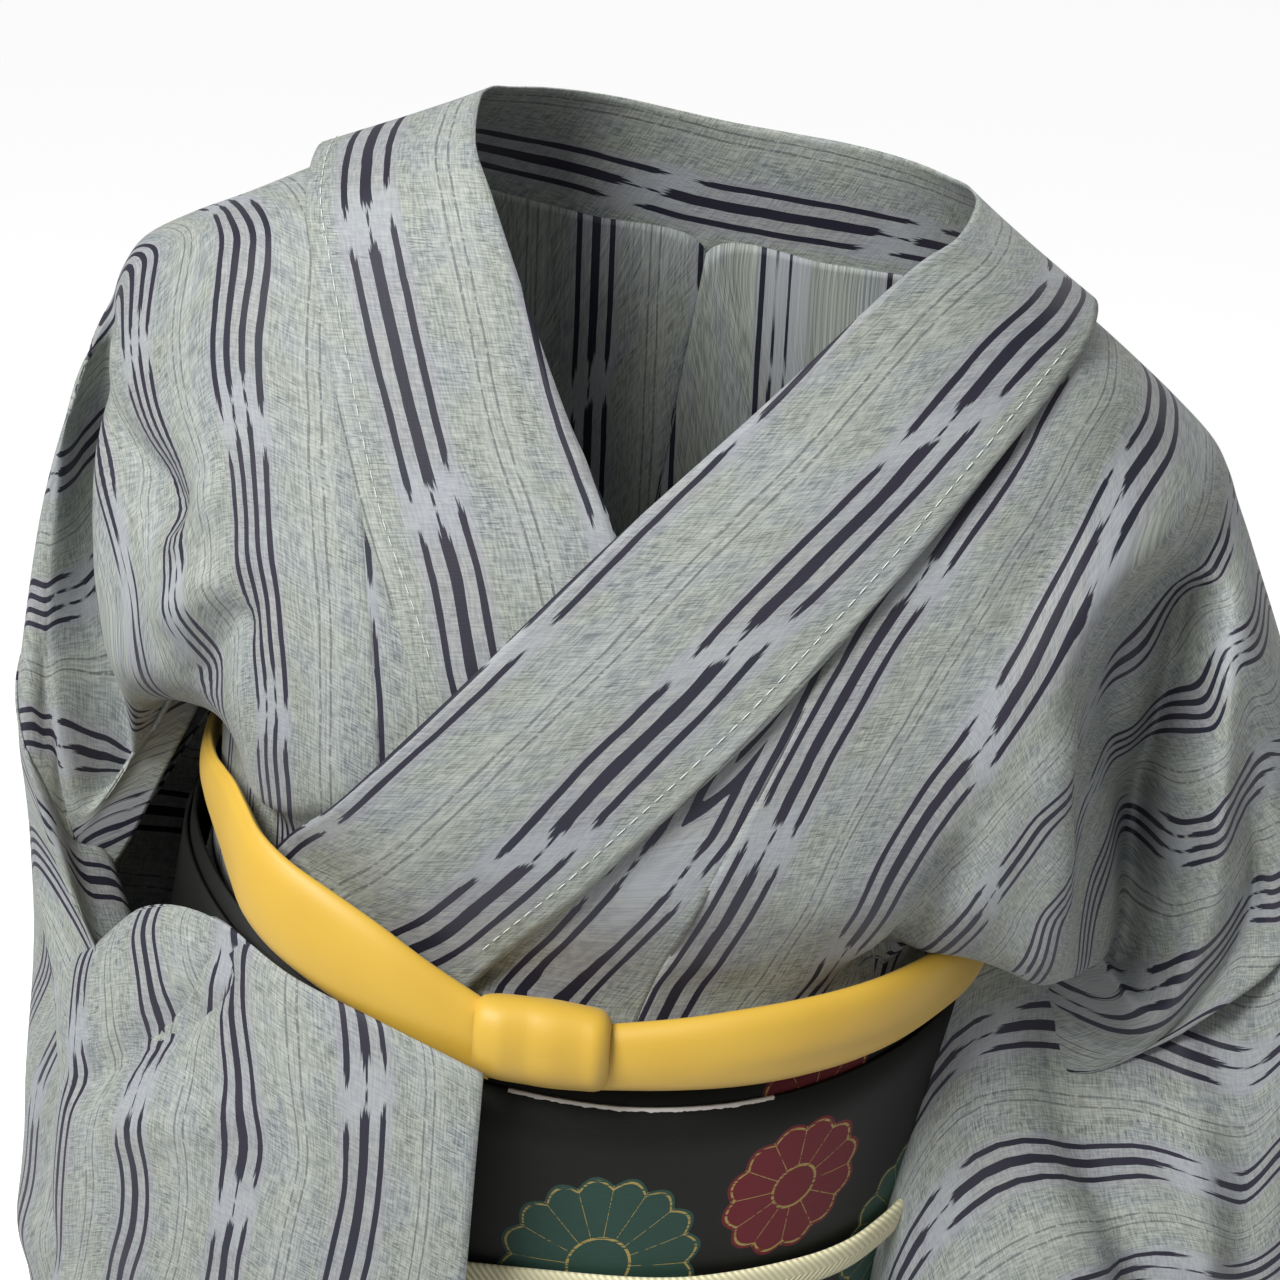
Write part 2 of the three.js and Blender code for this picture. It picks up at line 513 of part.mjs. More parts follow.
// A sleeve is a folded rectangle hung from the arm. Each row is a line of the cloth round it,
// from the body panel to the cuff: its top fold, and places down its front and its back layer.
const LEFT_SLEEVE = [
  { bottom: [132, 46, -578], lowFront: [122, 12, -440], lowBack: [146, 60, -440] },
  { bottom: [160, 34, -700], lowFront: [136, -14, -510], pitFront: [172, -50, -392],
    midFront: [226, -46, -372], top: [259, -8, -322], midBack: [238, 40, -372],
    pitBack: [196, 60, -420], lowBack: [164, 62, -550] },
  { bottom: [190, 18, -820], lowFront: [162, -42, -620], pitFront: [182, -64, -480],
    midFront: [232, -54, -455], top: [270, -16, -402], midBack: [252, 34, -450],
    pitBack: [216, 52, -520], lowBack: [192, 50, -660] },
  { bottom: [216, 0, -930], lowFront: [190, -56, -730], pitFront: [200, -68, -590],
    midFront: [240, -62, -540], top: [275, -26, -486], midBack: [260, 18, -540],
    pitBack: [236, 30, -620], lowBack: [216, 30, -760] },
  { bottom: [236, -22, -1030], lowFront: [218, -54, -850], pitFront: [226, -58, -720],
    midFront: [246, -60, -630], top: [272, -36, -568], midBack: [264, -8, -630],
    pitBack: [248, -10, -720], lowBack: [238, -14, -860] },
];
const RIGHT_SLEEVE = [
  { bottom: [-222, -2, -528], lowFront: [-206, -34, -400], lowBack: [-202, 26, -400] },
  { bottom: [-238, -34, -590], lowFront: [-214, -62, -450], pitFront: [-196, -62, -338],
    midFront: [-204, -50, -290], top: [-240, -8, -252], midBack: [-232, 16, -290],
    pitBack: [-222, 12, -340], lowBack: [-234, 0, -450] },
  { bottom: [-236, -68, -650], lowFront: [-226, -80, -520], pitFront: [-221, -78, -420],
    midFront: [-219, -70, -352], top: [-222, -38, -298], midBack: [-238, -26, -350],
    pitBack: [-242, -34, -420], lowBack: [-242, -48, -520] },
  { bottom: [-192, -108, -700], lowFront: [-184, -120, -545], pitFront: [-180, -113, -415],
    midFront: [-178, -103, -330], top: [-174, -72, -257], midBack: [-192, -76, -330],
    pitBack: [-196, -82, -415], lowBack: [-198, -94, -545] },
  { bottom: [-130, -138, -742], lowFront: [-126, -149, -570], pitFront: [-124, -146, -430],
    midFront: [-122, -138, -343], top: [-120, -114, -268], midBack: [-128, -116, -345],
    pitBack: [-132, -121, -430], lowBack: [-132, -128, -570] },
  { bottom: [-66, -148, -778], lowFront: [-63, -160, -605], pitFront: [-61, -158, -452],
    midFront: [-60, -151, -370], top: [-60, -135, -294], midBack: [-62, -131, -372],
    pitBack: [-64, -134, -455], lowBack: [-66, -139, -605] },
];
const ROUND_SLEEVE = ['bottom', 'lowFront', 'pitFront', 'midFront', 'top', 'midBack', 'pitBack', 'lowBack'];
const FREE_STEPS = 6;              // facets round the part that isn't sewn
const SEAM_STEP = 1.6;             // the sleeve starts this far out from the panel's edge
const PIT_GAP = 2.2;               // and this much further at the two ends of its seam
const FOLLOWS = 0.18;              // share of its length in which it follows the panel
const SLEEVE_ARM = 330;            // a sleeve's length along the arm

// A smooth value round a closed row of numbers, at s from 0 to 1.
function around(numbers, s) {
  const n = numbers.length;
  const padded = [numbers[n - 1], ...numbers, numbers[0], numbers[1]];
  return through(padded, (s * n + 1) / (n + 2));
}

function addSleeve(name, table, panel) {
  const last = panel.rows - 1;
  // The seam goes up the panel's front edge, over the shoulder and down its back edge.
  const seam = (s, step) => {
    const row = s < 0.5 ? lerp(PIT_ROWS, panel.shoulderRow, (s - 0.25) / 0.25)
      : lerp(panel.shoulderRow, last - PIT_ROWS, (s - 0.5) / 0.25);
    const pitGap = PIT_GAP * ease(0.08, 0, Math.min(Math.abs(s - 0.25), Math.abs(s - 0.75)));
    const edge = new THREE.Vector3(...panel.place(1, row / last));
    const inside = new THREE.Vector3(...panel.place(0.96, row / last));
    return edge.clone().addScaledVector(edge.clone().sub(inside).normalize(), step + pitGap).toArray();
  };
  const sewnAt = (s) => seam(s, SEAM_STEP);
  const seamRow = { ...table[0], pitFront: sewnAt(0.25), midFront: sewnAt(0.375), top: sewnAt(0.5),
    midBack: sewnAt(0.625), pitBack: sewnAt(0.75) };
  const rows = [seamRow, ...table.slice(1)];
  const steps = SEWN_STEPS + FREE_STEPS;
  const place = (u, v) => {
    const step = u * steps;
    const sewn = step <= SEWN_STEPS;
    const s = sewn ? 0.25 + 0.5 * step / SEWN_STEPS : (0.75 + 0.5 * (step - SEWN_STEPS) / FREE_STEPS) % 1;
    const ring = rows.map((row) => [0, 1, 2].map((k) => around(ROUND_SLEEVE.map((key) => row[key][k]), s)));
    if (sewn) ring[0] = seam(s, SEAM_STEP);
    const free = [0, 1, 2].map((k) => through(ring.map((point) => point[k]), v));
    if (!sewn || v > FOLLOWS) return free;
    const onward = seam(s, SEAM_STEP + v * SLEEVE_ARM);
    return free.map((value, k) => lerp(onward[k], value, ease(0, FOLLOWS, v)));
  };
  const tops = rows.map((row) => row.top[2]);
  const middle = (point) => {
    const along = clamp((point.z - tops[0]) / (tops[tops.length - 1] - tops[0]), 0, 1);
    const between = (k) => through(rows.map((row) => (row.lowFront[k] + row.lowBack[k]) / 2), along);
    return [between(0), between(1), point.z];
  };
  addCloth(name, SILK, place, { across: steps, along: 9, round: true, hollow: middle });
}

addSleeve('sleeve_left', LEFT_SLEEVE, leftPanel);
addSleeve('sleeve_right', RIGHT_SLEEVE, rightPanel);

// ---------------------------------------------------------------- belt

// A place on the belt's own ring, which keeps one size from top to bottom.
function waistPoint(angle, z, lift) {
  const [x, y] = ringPoint(angle, WAIST, lift);
  return [x, y, z];
}

const OUTER_TURN = 2.2;            // the outer turn lies this far over the inner turn
const BELT_AROUND = 30;

function addTurn(name, drop, lift) {
  const place = (u, v) => {
    const angle = u * 2 * Math.PI;
    const [x, y] = waistPoint(angle, 0, 0);
    const z = beltTop(x, y) - drop - v * BELT_HEIGHT;
    return leaned(waistPoint(angle, z, BELT_LIFT + lift));
  };
  addCloth(name, BELT_SILK, place,
    { across: BELT_AROUND, along: 2, wall: BELT_CLOTH, round: true, hollow: trunkMiddle });
}

addTurn('obi_inner_turn', 0, BELT_CLOTH);
addTurn('obi_outer_turn', BELT_STEP, BELT_CLOTH + OUTER_TURN);

// Lines down the middle of the back, each as how far back and how high.
const DRUM_LINE = [
  { y: 112, z: -300 }, { y: 122, z: -250 }, { y: 146, z: -236 }, { y: 172, z: -252 }, { y: 180, z: -330 },
  { y: 178, z: -420 }, { y: 166, z: -468 }, { y: 144, z: -460 }, { y: 136, z: -385 },
];
const TAIL_LINE = [{ y: 127, z: -330 }, { y: 130, z: -420 }, { y: 134, z: -490 }, { y: 138, z: -548 }];
const HAND_LINE = [{ y: 156, z: -338 }, { y: 158, z: -380 }, { y: 156, z: -418 }];
const DRUM_CURVE = 26;             // the flat back bends forward this much at its sides

function addBackPiece(name, line, halfWidth, { across, along, bend }) {
  const place = (u, v) => {
    const x = lerp(-halfWidth, halfWidth, u);
    const y = through(line.map((point) => point.y), v) - bend * (x / 150) ** 2;
    return leaned([x, y, through(line.map((point) => point.z), v)]);
  };
  const middle = (point) => leaned([0, 156, point.z < -460 ? point.z : -350]);
  addCloth(name, BELT_SILK, place, { across, along, wall: BELT_CLOTH, hollow: middle });
}

addBackPiece('obi_drum', DRUM_LINE, 150, { across: 4, along: 16, bend: DRUM_CURVE });
addBackPiece('obi_tail', TAIL_LINE, 146, { across: 4, along: 4, bend: DRUM_CURVE });
addBackPiece('obi_hand_end', HAND_LINE, 158, { across: 4, along: 2, bend: DRUM_CURVE });

// ---------------------------------------------------------------- scarf and cord

// The scarf's top and lower edges from the knot to behind the side: quarter turns as above.
const SCARF_LEFT = [
  { place: 0.94, top: -265, low: -290, out: 14.8, rise: 13 },
  { place: 0.75, top: -252, low: -282, out: 14.8, rise: 13 },
  { place: 0.55, top: -243, low: -273, out: 13.8, rise: 12 },
  { place: 0.35, top: -236, low: -263, out: 13.2, rise: 11 },
  { place: 0.15, top: -232, low: -257, out: 14.8, rise: 9 },
  { place: -0.1, top: -232, low: -250, out: 11, rise: 9 },
  { place: -0.3, top: -234, low: -249, out: 14, rise: 8 },
  { place: -0.46, top: -236, low: -249, out: 20, rise: 7 },
];
const SCARF_RIGHT = [
  { place: 1.06, top: -266, low: -293, out: 14.8, rise: 12 },
  { place: 1.25, top: -247, low: -282, out: 14.8, rise: 12 },
  { place: 1.45, top: -237, low: -270, out: 14.8, rise: 10 },
  { place: 1.62, top: -229, low: -256, out: 10, rise: 7 },
  { place: 1.8, top: -231, low: -248.5, out: 9, rise: 5 },
  { place: 2.05, top: -232, low: -248.5, out: 10, rise: 6 },
  { place: 2.3, top: -234, low: -249, out: 14, rise: 8 },
  { place: 2.46, top: -236, low: -249, out: 20, rise: 7 },
];

function addScarf(name, table) {
  const ring = (u, v) => {
    const at = (key) => through(table.map((row) => row[key]), v);
    const turn = u * 2 * Math.PI;
    const z = lerp(at('low'), at('top'), 0.5 + 0.5 * Math.sin(turn));
    const lift = at('out') + at('rise') * (0.5 + 0.5 * Math.cos(turn));
    return leaned(waistPoint(at('place') * QUARTER, z, lift));
  };
  addRoll(name, SCARF_SILK, ring, { around: 8, along: 16 });
}

addScarf('obiage_left', SCARF_LEFT);
addScarf('obiage_right', SCARF_RIGHT);

// A knot is a rounded block: its profile keeps full in the middle and closes at its ends.
function addKnot(name, finish, { middle: [x, y, z], half: [across, deep, high] }) {
  const ring = (u, v) => {
    const turn = u * 2 * Math.PI;
    const full = (1 - (0.96 * (2 * v - 1)) ** 4) ** 0.25;
    const round = (value) => Math.sign(value) * Math.abs(value) ** 0.7;
    return leaned([x + across * full * round(Math.cos(turn)), y + deep * full * round(Math.sin(turn)),
      z + high * (2 * v - 1)]);
  };
  addRoll(name, finish, ring, { around: 10, along: 6 });
}

const beltFront = (lift) => -formAt(WAIST).front - lift;

addKnot('obiage_knot', SCARF_SILK, { middle: [0, beltFront(23), -279], half: [18.5, 8, 16] });

// The cord's middle line goes from one side of its knot round the left side, over the hand end
// inside the drum, and round the right side to the knot: plan x and y, and height.
const CORD_WIDTH = 12;
const CORD_DEPTH = 4;
const CORD_OUT = 20;             // its middle line over the waist
const CORD_FRONT = [
  { place: 1.04, z: -371 },
  { place: 0.85, z: -366 },
  { place: 0.7, z: -362 },
  { place: 0.5, z: -356 },
  { place: 0.35, z: -349 },
  { place: 0.2, z: -341 },
  { place: 0, z: -340 },
];
const CORD_BACK = [
  { x: 156, y: 62, z: -343 },
  { x: 168, y: 112, z: -350 },
  { x: 150, y: 144, z: -358 },
  { x: 108, y: 155, z: -364 },
  { x: 54, y: 163, z: -368 },
  { x: 0, y: 166, z: -370 },
];
const CORD_KNOT_PLACE = 1.205;

function addCord() {
  const onBelt = ({ place, z }) => waistPoint(place * QUARTER, z, CORD_OUT);
  const front = CORD_FRONT.map(onBelt);
  const back = CORD_BACK.map((row) => [row.x, row.y, row.z]);
  const mirrored = ([x, y, z]) => [-x, y, z];
  const farFront = [...front.slice(2).map(mirrored).reverse(), onBelt({ place: CORD_KNOT_PLACE, z: -367 })];
  const line = [...front, ...back, ...back.slice(0, -1).map(mirrored).reverse(), ...farFront];
  const along = (v) => [0, 1, 2].map((k) => through(line.map((point) => point[k]), v));
  const ring = (u, v) => {
    const [x, y, z] = along(v);
    const [aheadX, aheadY] = along(v + 0.004);
    const [behindX, behindY] = along(v - 0.004);
    const turn = Math.atan2(aheadY - behindY, aheadX - behindX) - Math.PI / 2;
    const corner = Math.floor(u * 4 + 0.5);
    const out = corner === 0 || corner === 3 ? CORD_DEPTH / 2 : -CORD_DEPTH / 2;
    const up = corner < 2 ? CORD_WIDTH / 2 : -CORD_WIDTH / 2;
    return leaned([x + out * Math.cos(turn), y + out * Math.sin(turn), z + up]);
  };
  addRoll('obijime', BRAID, ring, { around: 4, along: 48 });
}

addCord();
addKnot('obijime_knot', BRAID, { middle: [-34, beltFront(20.2), -370], half: [19.2, 3.8, 9] });

export default kimono;
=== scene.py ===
"""A woman's striped silk kimono, worn, with its belt, scarf and cord."""

import math

import bpy
import numpy as np
from mathutils import Matrix, Vector


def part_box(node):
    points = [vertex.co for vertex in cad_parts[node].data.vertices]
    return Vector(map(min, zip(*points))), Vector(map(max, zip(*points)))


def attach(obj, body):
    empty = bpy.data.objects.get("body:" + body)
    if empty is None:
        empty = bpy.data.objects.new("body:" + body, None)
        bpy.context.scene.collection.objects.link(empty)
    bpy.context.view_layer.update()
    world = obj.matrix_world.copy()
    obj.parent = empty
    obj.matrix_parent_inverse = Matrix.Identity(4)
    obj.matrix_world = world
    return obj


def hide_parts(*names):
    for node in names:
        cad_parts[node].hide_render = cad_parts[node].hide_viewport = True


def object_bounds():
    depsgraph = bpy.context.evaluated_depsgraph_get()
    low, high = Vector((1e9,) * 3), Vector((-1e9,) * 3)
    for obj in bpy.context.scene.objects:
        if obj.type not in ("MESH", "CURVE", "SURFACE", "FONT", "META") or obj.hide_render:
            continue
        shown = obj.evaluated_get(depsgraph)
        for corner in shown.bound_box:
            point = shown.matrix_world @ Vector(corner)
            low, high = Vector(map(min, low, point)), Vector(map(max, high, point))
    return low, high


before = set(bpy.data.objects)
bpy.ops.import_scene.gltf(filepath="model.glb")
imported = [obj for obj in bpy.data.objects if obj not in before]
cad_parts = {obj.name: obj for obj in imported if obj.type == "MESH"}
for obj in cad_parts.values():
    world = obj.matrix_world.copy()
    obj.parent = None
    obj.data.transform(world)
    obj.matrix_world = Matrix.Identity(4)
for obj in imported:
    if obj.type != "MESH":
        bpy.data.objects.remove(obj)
cad_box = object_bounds()
MM = 0.001

# ---------------------------------------------------------------- sizes, in millimetres

KIMONO_WALL = 1.3      # the walls of the solids, which tell a face from its turned edge
TUCK_WALL = 2.4
COLLAR_WALL = 2.2
BELT_WALL = 1.8
SILK_THICK = 0.8       # one layer of kimono silk, a little thicker than the real 0.4
BELT_THICK = 1.4
GROUP = 46.0           # from one group of stripes to the next, across the loom
BREAK_EVERY = 100.0    # along the cloth, from one break in a group to the next
BREAK = 19.0           # length of a break
BACK_SEAM_REACH = 110.0    # from the back seam out to here the stripes follow it down the back
TOP_HIGHLIGHT_MIDDLE = 42.0      # the painted highlight along the belt's top edge is centred here, round from the front,
TOP_HIGHLIGHT_LENGTH = 92.0       # over this length
BELOW_SELVAGE = 12.0       # the belt's folds at the back start this far below its top thread
WRAP_THICK = 0.6           # scarf crepe, and the skin of a knot
UNDER_KNOT = 5.0           # how far the scarf goes in under its knot
CHEVRON = 2.5              # one chevron of the braid

# ---------------------------------------------------------------- the solids' own faces


def welded(node):
    """The points and triangles of a solid, in mm, with the points that meet made one."""
    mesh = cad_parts[node].data
    mesh.calc_loop_triangles()
    points = np.array([v.co for v in mesh.vertices]) / MM
    triangles = np.array([t.vertices for t in mesh.loop_triangles])
    keys = {}
    number = [keys.setdefault(tuple(p), len(keys)) for p in np.round(points / 0.02).astype(int)]
    spots = np.zeros((len(keys), 3))
    spots[number] = points
    return spots, np.array(number)[triangles]


def cloth_faces(spots, triangles, wall):
    """The outer and the inner face of a wall of cloth. A turned edge has a side as long as the wall."""
    corners = spots[triangles]
    sides = np.linalg.norm(corners - np.roll(corners, 1, axis=1), axis=2)
    turned = (np.abs(sides - wall) < 0.02).any(axis=1)
    owner = list(range(len(spots)))

    def root(spot):
        while owner[spot] != spot:
            owner[spot] = owner[owner[spot]]
            spot = owner[spot]
        return spot

    faces = triangles[~turned].tolist()
    for a, b, c in faces:
        owner[root(a)] = root(b)
        owner[root(b)] = root(c)
    groups = {}
    for face in faces:
        groups.setdefault(root(face[0]), []).append(face)

    def area(group):
        a, b, c = (spots[np.array(group)[:, k]] for k in range(3))
        return np.linalg.norm(np.cross(b - a, c - a), axis=1).sum()

    return sorted(groups.values(), key=area, reverse=True)


def neighbours(faces):
    """Which spots are joined, which are joined along the edge, and how many faces meet at each."""
    near, times, touching = {}, {}, {}
    for corners in faces:
        for k in range(3):
            a, b = corners[k], corners[k - 1]
            near.setdefault(a, set()).add(b)
            near.setdefault(b, set()).add(a)
            touching[a] = touching.get(a, 0) + 1
            times[frozenset((a, b))] = times.get(frozenset((a, b)), 0) + 1
    edge = {}
    for pair, count in times.items():
        if count == 1:
            a, b = pair
            edge.setdefault(a, []).append(b)
            edge.setdefault(b, []).append(a)
    return near, edge, touching


def nearest(spots, choices, place):
    return min(choices, key=lambda spot: np.linalg.norm(spots[spot] - np.array(place)))


def cloth_rows(node, wall, start, beside):
    """The outer face of a flat piece as rows of points. The first row starts at the corner
    nearest to start and runs along the edge that goes towards beside."""
    spots, triangles = welded(node)
    faces = cloth_faces(spots, triangles, wall)[0]
    near, edge, touching = neighbours(faces)
    corners = [spot for spot in edge if touching[spot] < 3]
    first = nearest(spots, corners, start)
    row = [first, nearest(spots, edge[first], beside)]
    while row[-1] not in corners:
        row.append(next(spot for spot in edge[row[-1]] if spot != row[-2]))
    rows = [row]
    done = set(row)
    while len(done) < len(near):
        fresh = {spot for place in row for spot in near[place]} - done
        line = [next(spot for spot in fresh if spot in edge and row[0] in edge[spot])]
        while len(line) < len(fresh):
            line.append(next(s for s in fresh if s in near[line[-1]] and s not in line))
        row = line
        rows.append(row)
        done |= fresh
    return spots[np.array(rows)], facing(spots, faces, rows)


def facing(spots, faces, rows):
    """1 where the rows' own normal points out of the solid, and -1 where it points in."""
    a, b, c = (spots[spot] for spot in faces[0])
    line, place = next((k, row.index(faces[0][0])) for k, row in enumerate(rows) if faces[0][0] in row)
    normal = normals_of(spots[np.array(rows)], closed=True)[line, min(max(place, 1), len(rows[0]) - 2)]
    return 1 if normal @ np.cross(b - a, c - a) > 0 else -1


def tube_rows(node, wall, start, beside):
    """The outer face of a tube as rings of points, from the ring through the point nearest to
    start. The rings run from there towards beside."""
    spots, triangles = welded(node)
    faces = cloth_faces(spots, triangles, wall)[0]
    near, edge, _ = neighbours(faces)
    first = nearest(spots, edge, start)
    row = [first, nearest(spots, edge[first], beside)]
    while len(row) < 3 or row[0] not in edge[row[-1]]:
        row.append(next(spot for spot in edge[row[-1]] if spot != row[-2]))
    rows = [row]
    done = set(row)
    while len(done) < len(near):
        fresh = {spot for place in row for spot in near[place]} - done
        row = straight_across(spots, faces, row, fresh)
        rows.append(row)
        done |= fresh
    return spots[np.array(rows)], facing(spots, faces, rows)


def straight_across(spots, faces, row, fresh):
    """The next ring of a tube, each point opposite its own in the last ring: of the two ways
    to pair them, the slanting one is longer."""
    apex = {}
    for face in faces:
        new = [spot for spot in face if spot in fresh]
        if len(new) == 1:
            apex[frozenset(face) - {new[0]}] = new[0]
    after = [apex[frozenset((row[k], row[(k + 1) % len(row)]))] for k in range(len(row))]
    before = after[-1:] + after[:-1]
    length = [np.linalg.norm(spots[row] - spots[line], axis=1).sum() for line in (after, before)]
    return after if length[0] < length[1] else before


def roll_rings(node, sides, start):
    """The rings of a closed roll, from the end nearest to start, with the end caps left out."""
    spots, triangles = welded(node)
    near, _, touching = neighbours(triangles.tolist())
    ends = [spot for spot in touching if touching[spot] == sides and len(near[spot]) == sides]
    ends.sort(key=lambda spot: np.linalg.norm(spots[spot] - np.array(start)))
    first = ends[0]
    ring = [next(iter(near[first]))]
    while len(ring) < sides:
        ring.append(next(s for s in near[first] if s in near[ring[-1]] and s not in ring))
    faces = triangles.tolist()
    rings = [ring]
    done = set(ring) | {first}
    while True:
        fresh = {spot for place in ring for spot in near[place]} - done
        if len(fresh) < sides:
            return spots[np.array(rings)]
        ring = straight_across(spots, faces, ring, fresh)
        rings.append(ring)
        done |= fresh


# ---------------------------------------------------------------- finer cloth


def softly(share):
    """A share from 0 to 1 that starts and ends gently."""
    return share * share * (3 - 2 * share)


def finer(points, steps, closed=False):
    """A smooth curve through the points along the first direction, with steps between two."""
    count = len(points) * steps if closed else (len(points) - 1) * steps + 1
    place = np.arange(count) / steps
    index = np.floor(place).astype(int)
    if closed:
        full = np.concatenate([points[-1:], points, points[:2]])
    else:
        index = np.minimum(index, len(points) - 2)
        full = np.concatenate([[2 * points[0] - points[1]], points, [2 * points[-1] - points[-2]]])
    a, b, c, d = (full[index + k] for k in range(4))
    t = (place - index).reshape((-1,) + (1,) * (points.ndim - 1))
    return b + 0.5 * t * (c - a + t * (2 * a - 5 * b + 4 * c - d + t * (3 * (b - c) + d - a)))


def finer_cloth(rows, down, across, closed=False):
    """Rows with down steps between two, and across steps between two of a row's points."""
    return finer(finer(rows, down).swapaxes(0, 1), across, closed).swapaxes(0, 1)


def joined_up(rows):
    """Closed rows with their first point given again at the end."""
    return np.concatenate([rows, rows[:, :1]], axis=1)


def units(ways):
    """The directions with a length of 1."""
    return ways / np.maximum(np.linalg.norm(ways, axis=-1, keepdims=True), 1e-6)


def lengths_across(rows):
    """How far along its row each point is, in mm."""
    steps = np.linalg.norm(np.diff(rows, axis=1), axis=2)
    return np.concatenate([np.zeros((len(rows), 1)), np.cumsum(steps, axis=1)], axis=1)


def lengths_down(rows):
    """How far down the cloth each row is, in mm, taken over its whole width."""
    steps = np.linalg.norm(np.diff(rows, axis=0), axis=2).mean(axis=1)
    return np.concatenate([[0], np.cumsum(steps)])


def own_lengths(rows):
    """How far along its own column each point is, in mm."""
    steps = np.linalg.norm(np.diff(rows, axis=0), axis=2)
    return np.concatenate([np.zeros((1, rows.shape[1])), np.cumsum(steps, axis=0)])


def normals_of(rows, closed=False):
    if closed:
        across = np.roll(rows, -1, axis=1) - np.roll(rows, 1, axis=1)
    else:
        across = np.gradient(rows, axis=1)
    normal = np.cross(across, np.gradient(rows, axis=0))
    return normal / np.maximum(np.linalg.norm(normal, axis=2, keepdims=True), 1e-9)


def way_out(rows, away):
    """1 where the normals of closed rows go the way of away, and -1 where they go against it."""
    return 1 if (normals_of(rows, closed=True) * away).sum() > 0 else -1


def grid_places(shape, down, across):
    """Each fine point's place on the solid's own grid: line and column."""
    lines = np.arange(shape[0]) / down
    columns = np.arange(shape[1]) / across
    return np.stack(np.meshgrid(lines, columns, indexing="ij"), axis=-1).reshape(-1, 2)


def led(base, courses, down, across, slack=0.03):
    """base, bent smoothly so that each value falls on its course, as a thin plate bends to its
    pins. A course is places on the solid's own grid, as line and column; one with no value
    stays as it is. Beyond the outermost places the bend stays as it is at them."""
    if not courses:
        return base
    pins = np.array([place for _, course in courses for place in course], float)
    at = np.rint(pins * (down, across)).astype(int)
    wanted = np.array([value for value, course in courses for _ in course], float)
    missing = np.nan_to_num(wanted - base[at[:, 0], at[:, 1]])

    def plate(places):
        apart = ((places[:, None] - pins[None]) ** 2).sum(axis=-1)
        return apart * np.log(apart + 1e-9) / 2

    size = len(pins)
    flat = np.concatenate([np.ones((size, 1)), pins], axis=1)
    whole = np.zeros((size + 3, size + 3))
    whole[:size, :size] = plate(pins) + slack * size * np.eye(size)
    whole[:size, size:] = flat
    whole[size:, :size] = flat.T
    answer = np.linalg.solve(whole, np.concatenate([missing, np.zeros(3)]))
    places = grid_places(base.shape, down, across)
    places = np.clip(places, pins.min(axis=0) - 0.3, pins.max(axis=0) + 0.3)
    bend = plate(places) @ answer[:size] + answer[size] + places @ answer[size + 1:]
    return base + bend.reshape(base.shape)


def points_at(rows, places):
    """The points of the cloth at places between its rows and columns."""
    low = np.clip(np.floor(places).astype(int), 0, np.array(rows.shape[:2]) - 2)
    share = places - low
    found = 0
    for i in (0, 1):
        for j in (0, 1):
            weight = abs(1 - i - share[:, :1]) * abs(1 - j - share[:, 1:])
            found = found + rows[low[:, 0] + i, low[:, 1] + j] * weight
    return found


def creased(rows, folds, down, across, outward, closed=False):
    """rows with soft ridges and troughs laid in. A fold is its height in mm, negative for a
    trough, its half width in mm, and its course on the solid's own grid. It fades at both ends.
    It stands up from the cloth, or goes the way that it names."""
    normal = normals_of(rows, closed) * outward
    moved = rows.copy()
    for height, width, course, *named in folds:
        spine = points_at(rows, finer(np.array(course, float), 16) * (down, across))
        apart = np.linalg.norm(rows[:, :, None] - spine[None, None], axis=3)
        along = apart.argmin(axis=2) / (len(spine) - 1)
        fade = softly(np.clip(np.minimum(along, 1 - along) * 4, 0.0, 1.0))
        rise = height * np.exp(-(apart.min(axis=2) / width) ** 2) * (0.25 + 0.75 * fade)
        way = np.array(named[0], float) if named else normal
        moved = moved + way * rise[..., None]
    return moved


def sheet_piece(name, rows, cloth, closed=False, thick=SILK_THICK, outward=1):
    """A thin shell on rows of points. cloth gives each point's place on the flat cloth, in mm:
    across the loom width, and along it."""
    down, across = rows.shape[:2]
    number = np.arange(down * across).reshape(down, across)
    if closed:
        number = joined_up(number)
    on_cloth = np.arange(number.size).reshape(number.shape)
    faces, places = (np.stack([n[:-1, :-1], n[:-1, 1:], n[1:, 1:], n[1:, :-1]], axis=-1)
                     .reshape(-1, 4)[:, ::outward] for n in (number, on_cloth))
    mesh = bpy.data.meshes.new(name)
    mesh.from_pydata((rows * MM).reshape(-1, 3).tolist(), [], faces.tolist())
    layer = mesh.uv_layers.new(name="cloth")
    layer.data.foreach_set("uv", cloth.reshape(-1, 2)[places.ravel()].astype(np.float32).ravel())
    mesh.polygons.foreach_set("use_smooth", [True] * len(mesh.polygons))
    piece = bpy.data.objects.new(name, mesh)
    bpy.context.scene.collection.objects.link(piece)
    if thick:
        shell = piece.modifiers.new("thickness", "SOLIDIFY")
        shell.thickness = thick * MM
        shell.offset = -1
        shell.use_even_offset = False
    return piece


# ---------------------------------------------------------------- materials

NO_THREAD = (0, 0.5, 0, 1)     # a bar's colour where it has no thread: no dye, and a break on time
LATEST = 20.0                  # a thread's break comes at most this much sooner or later
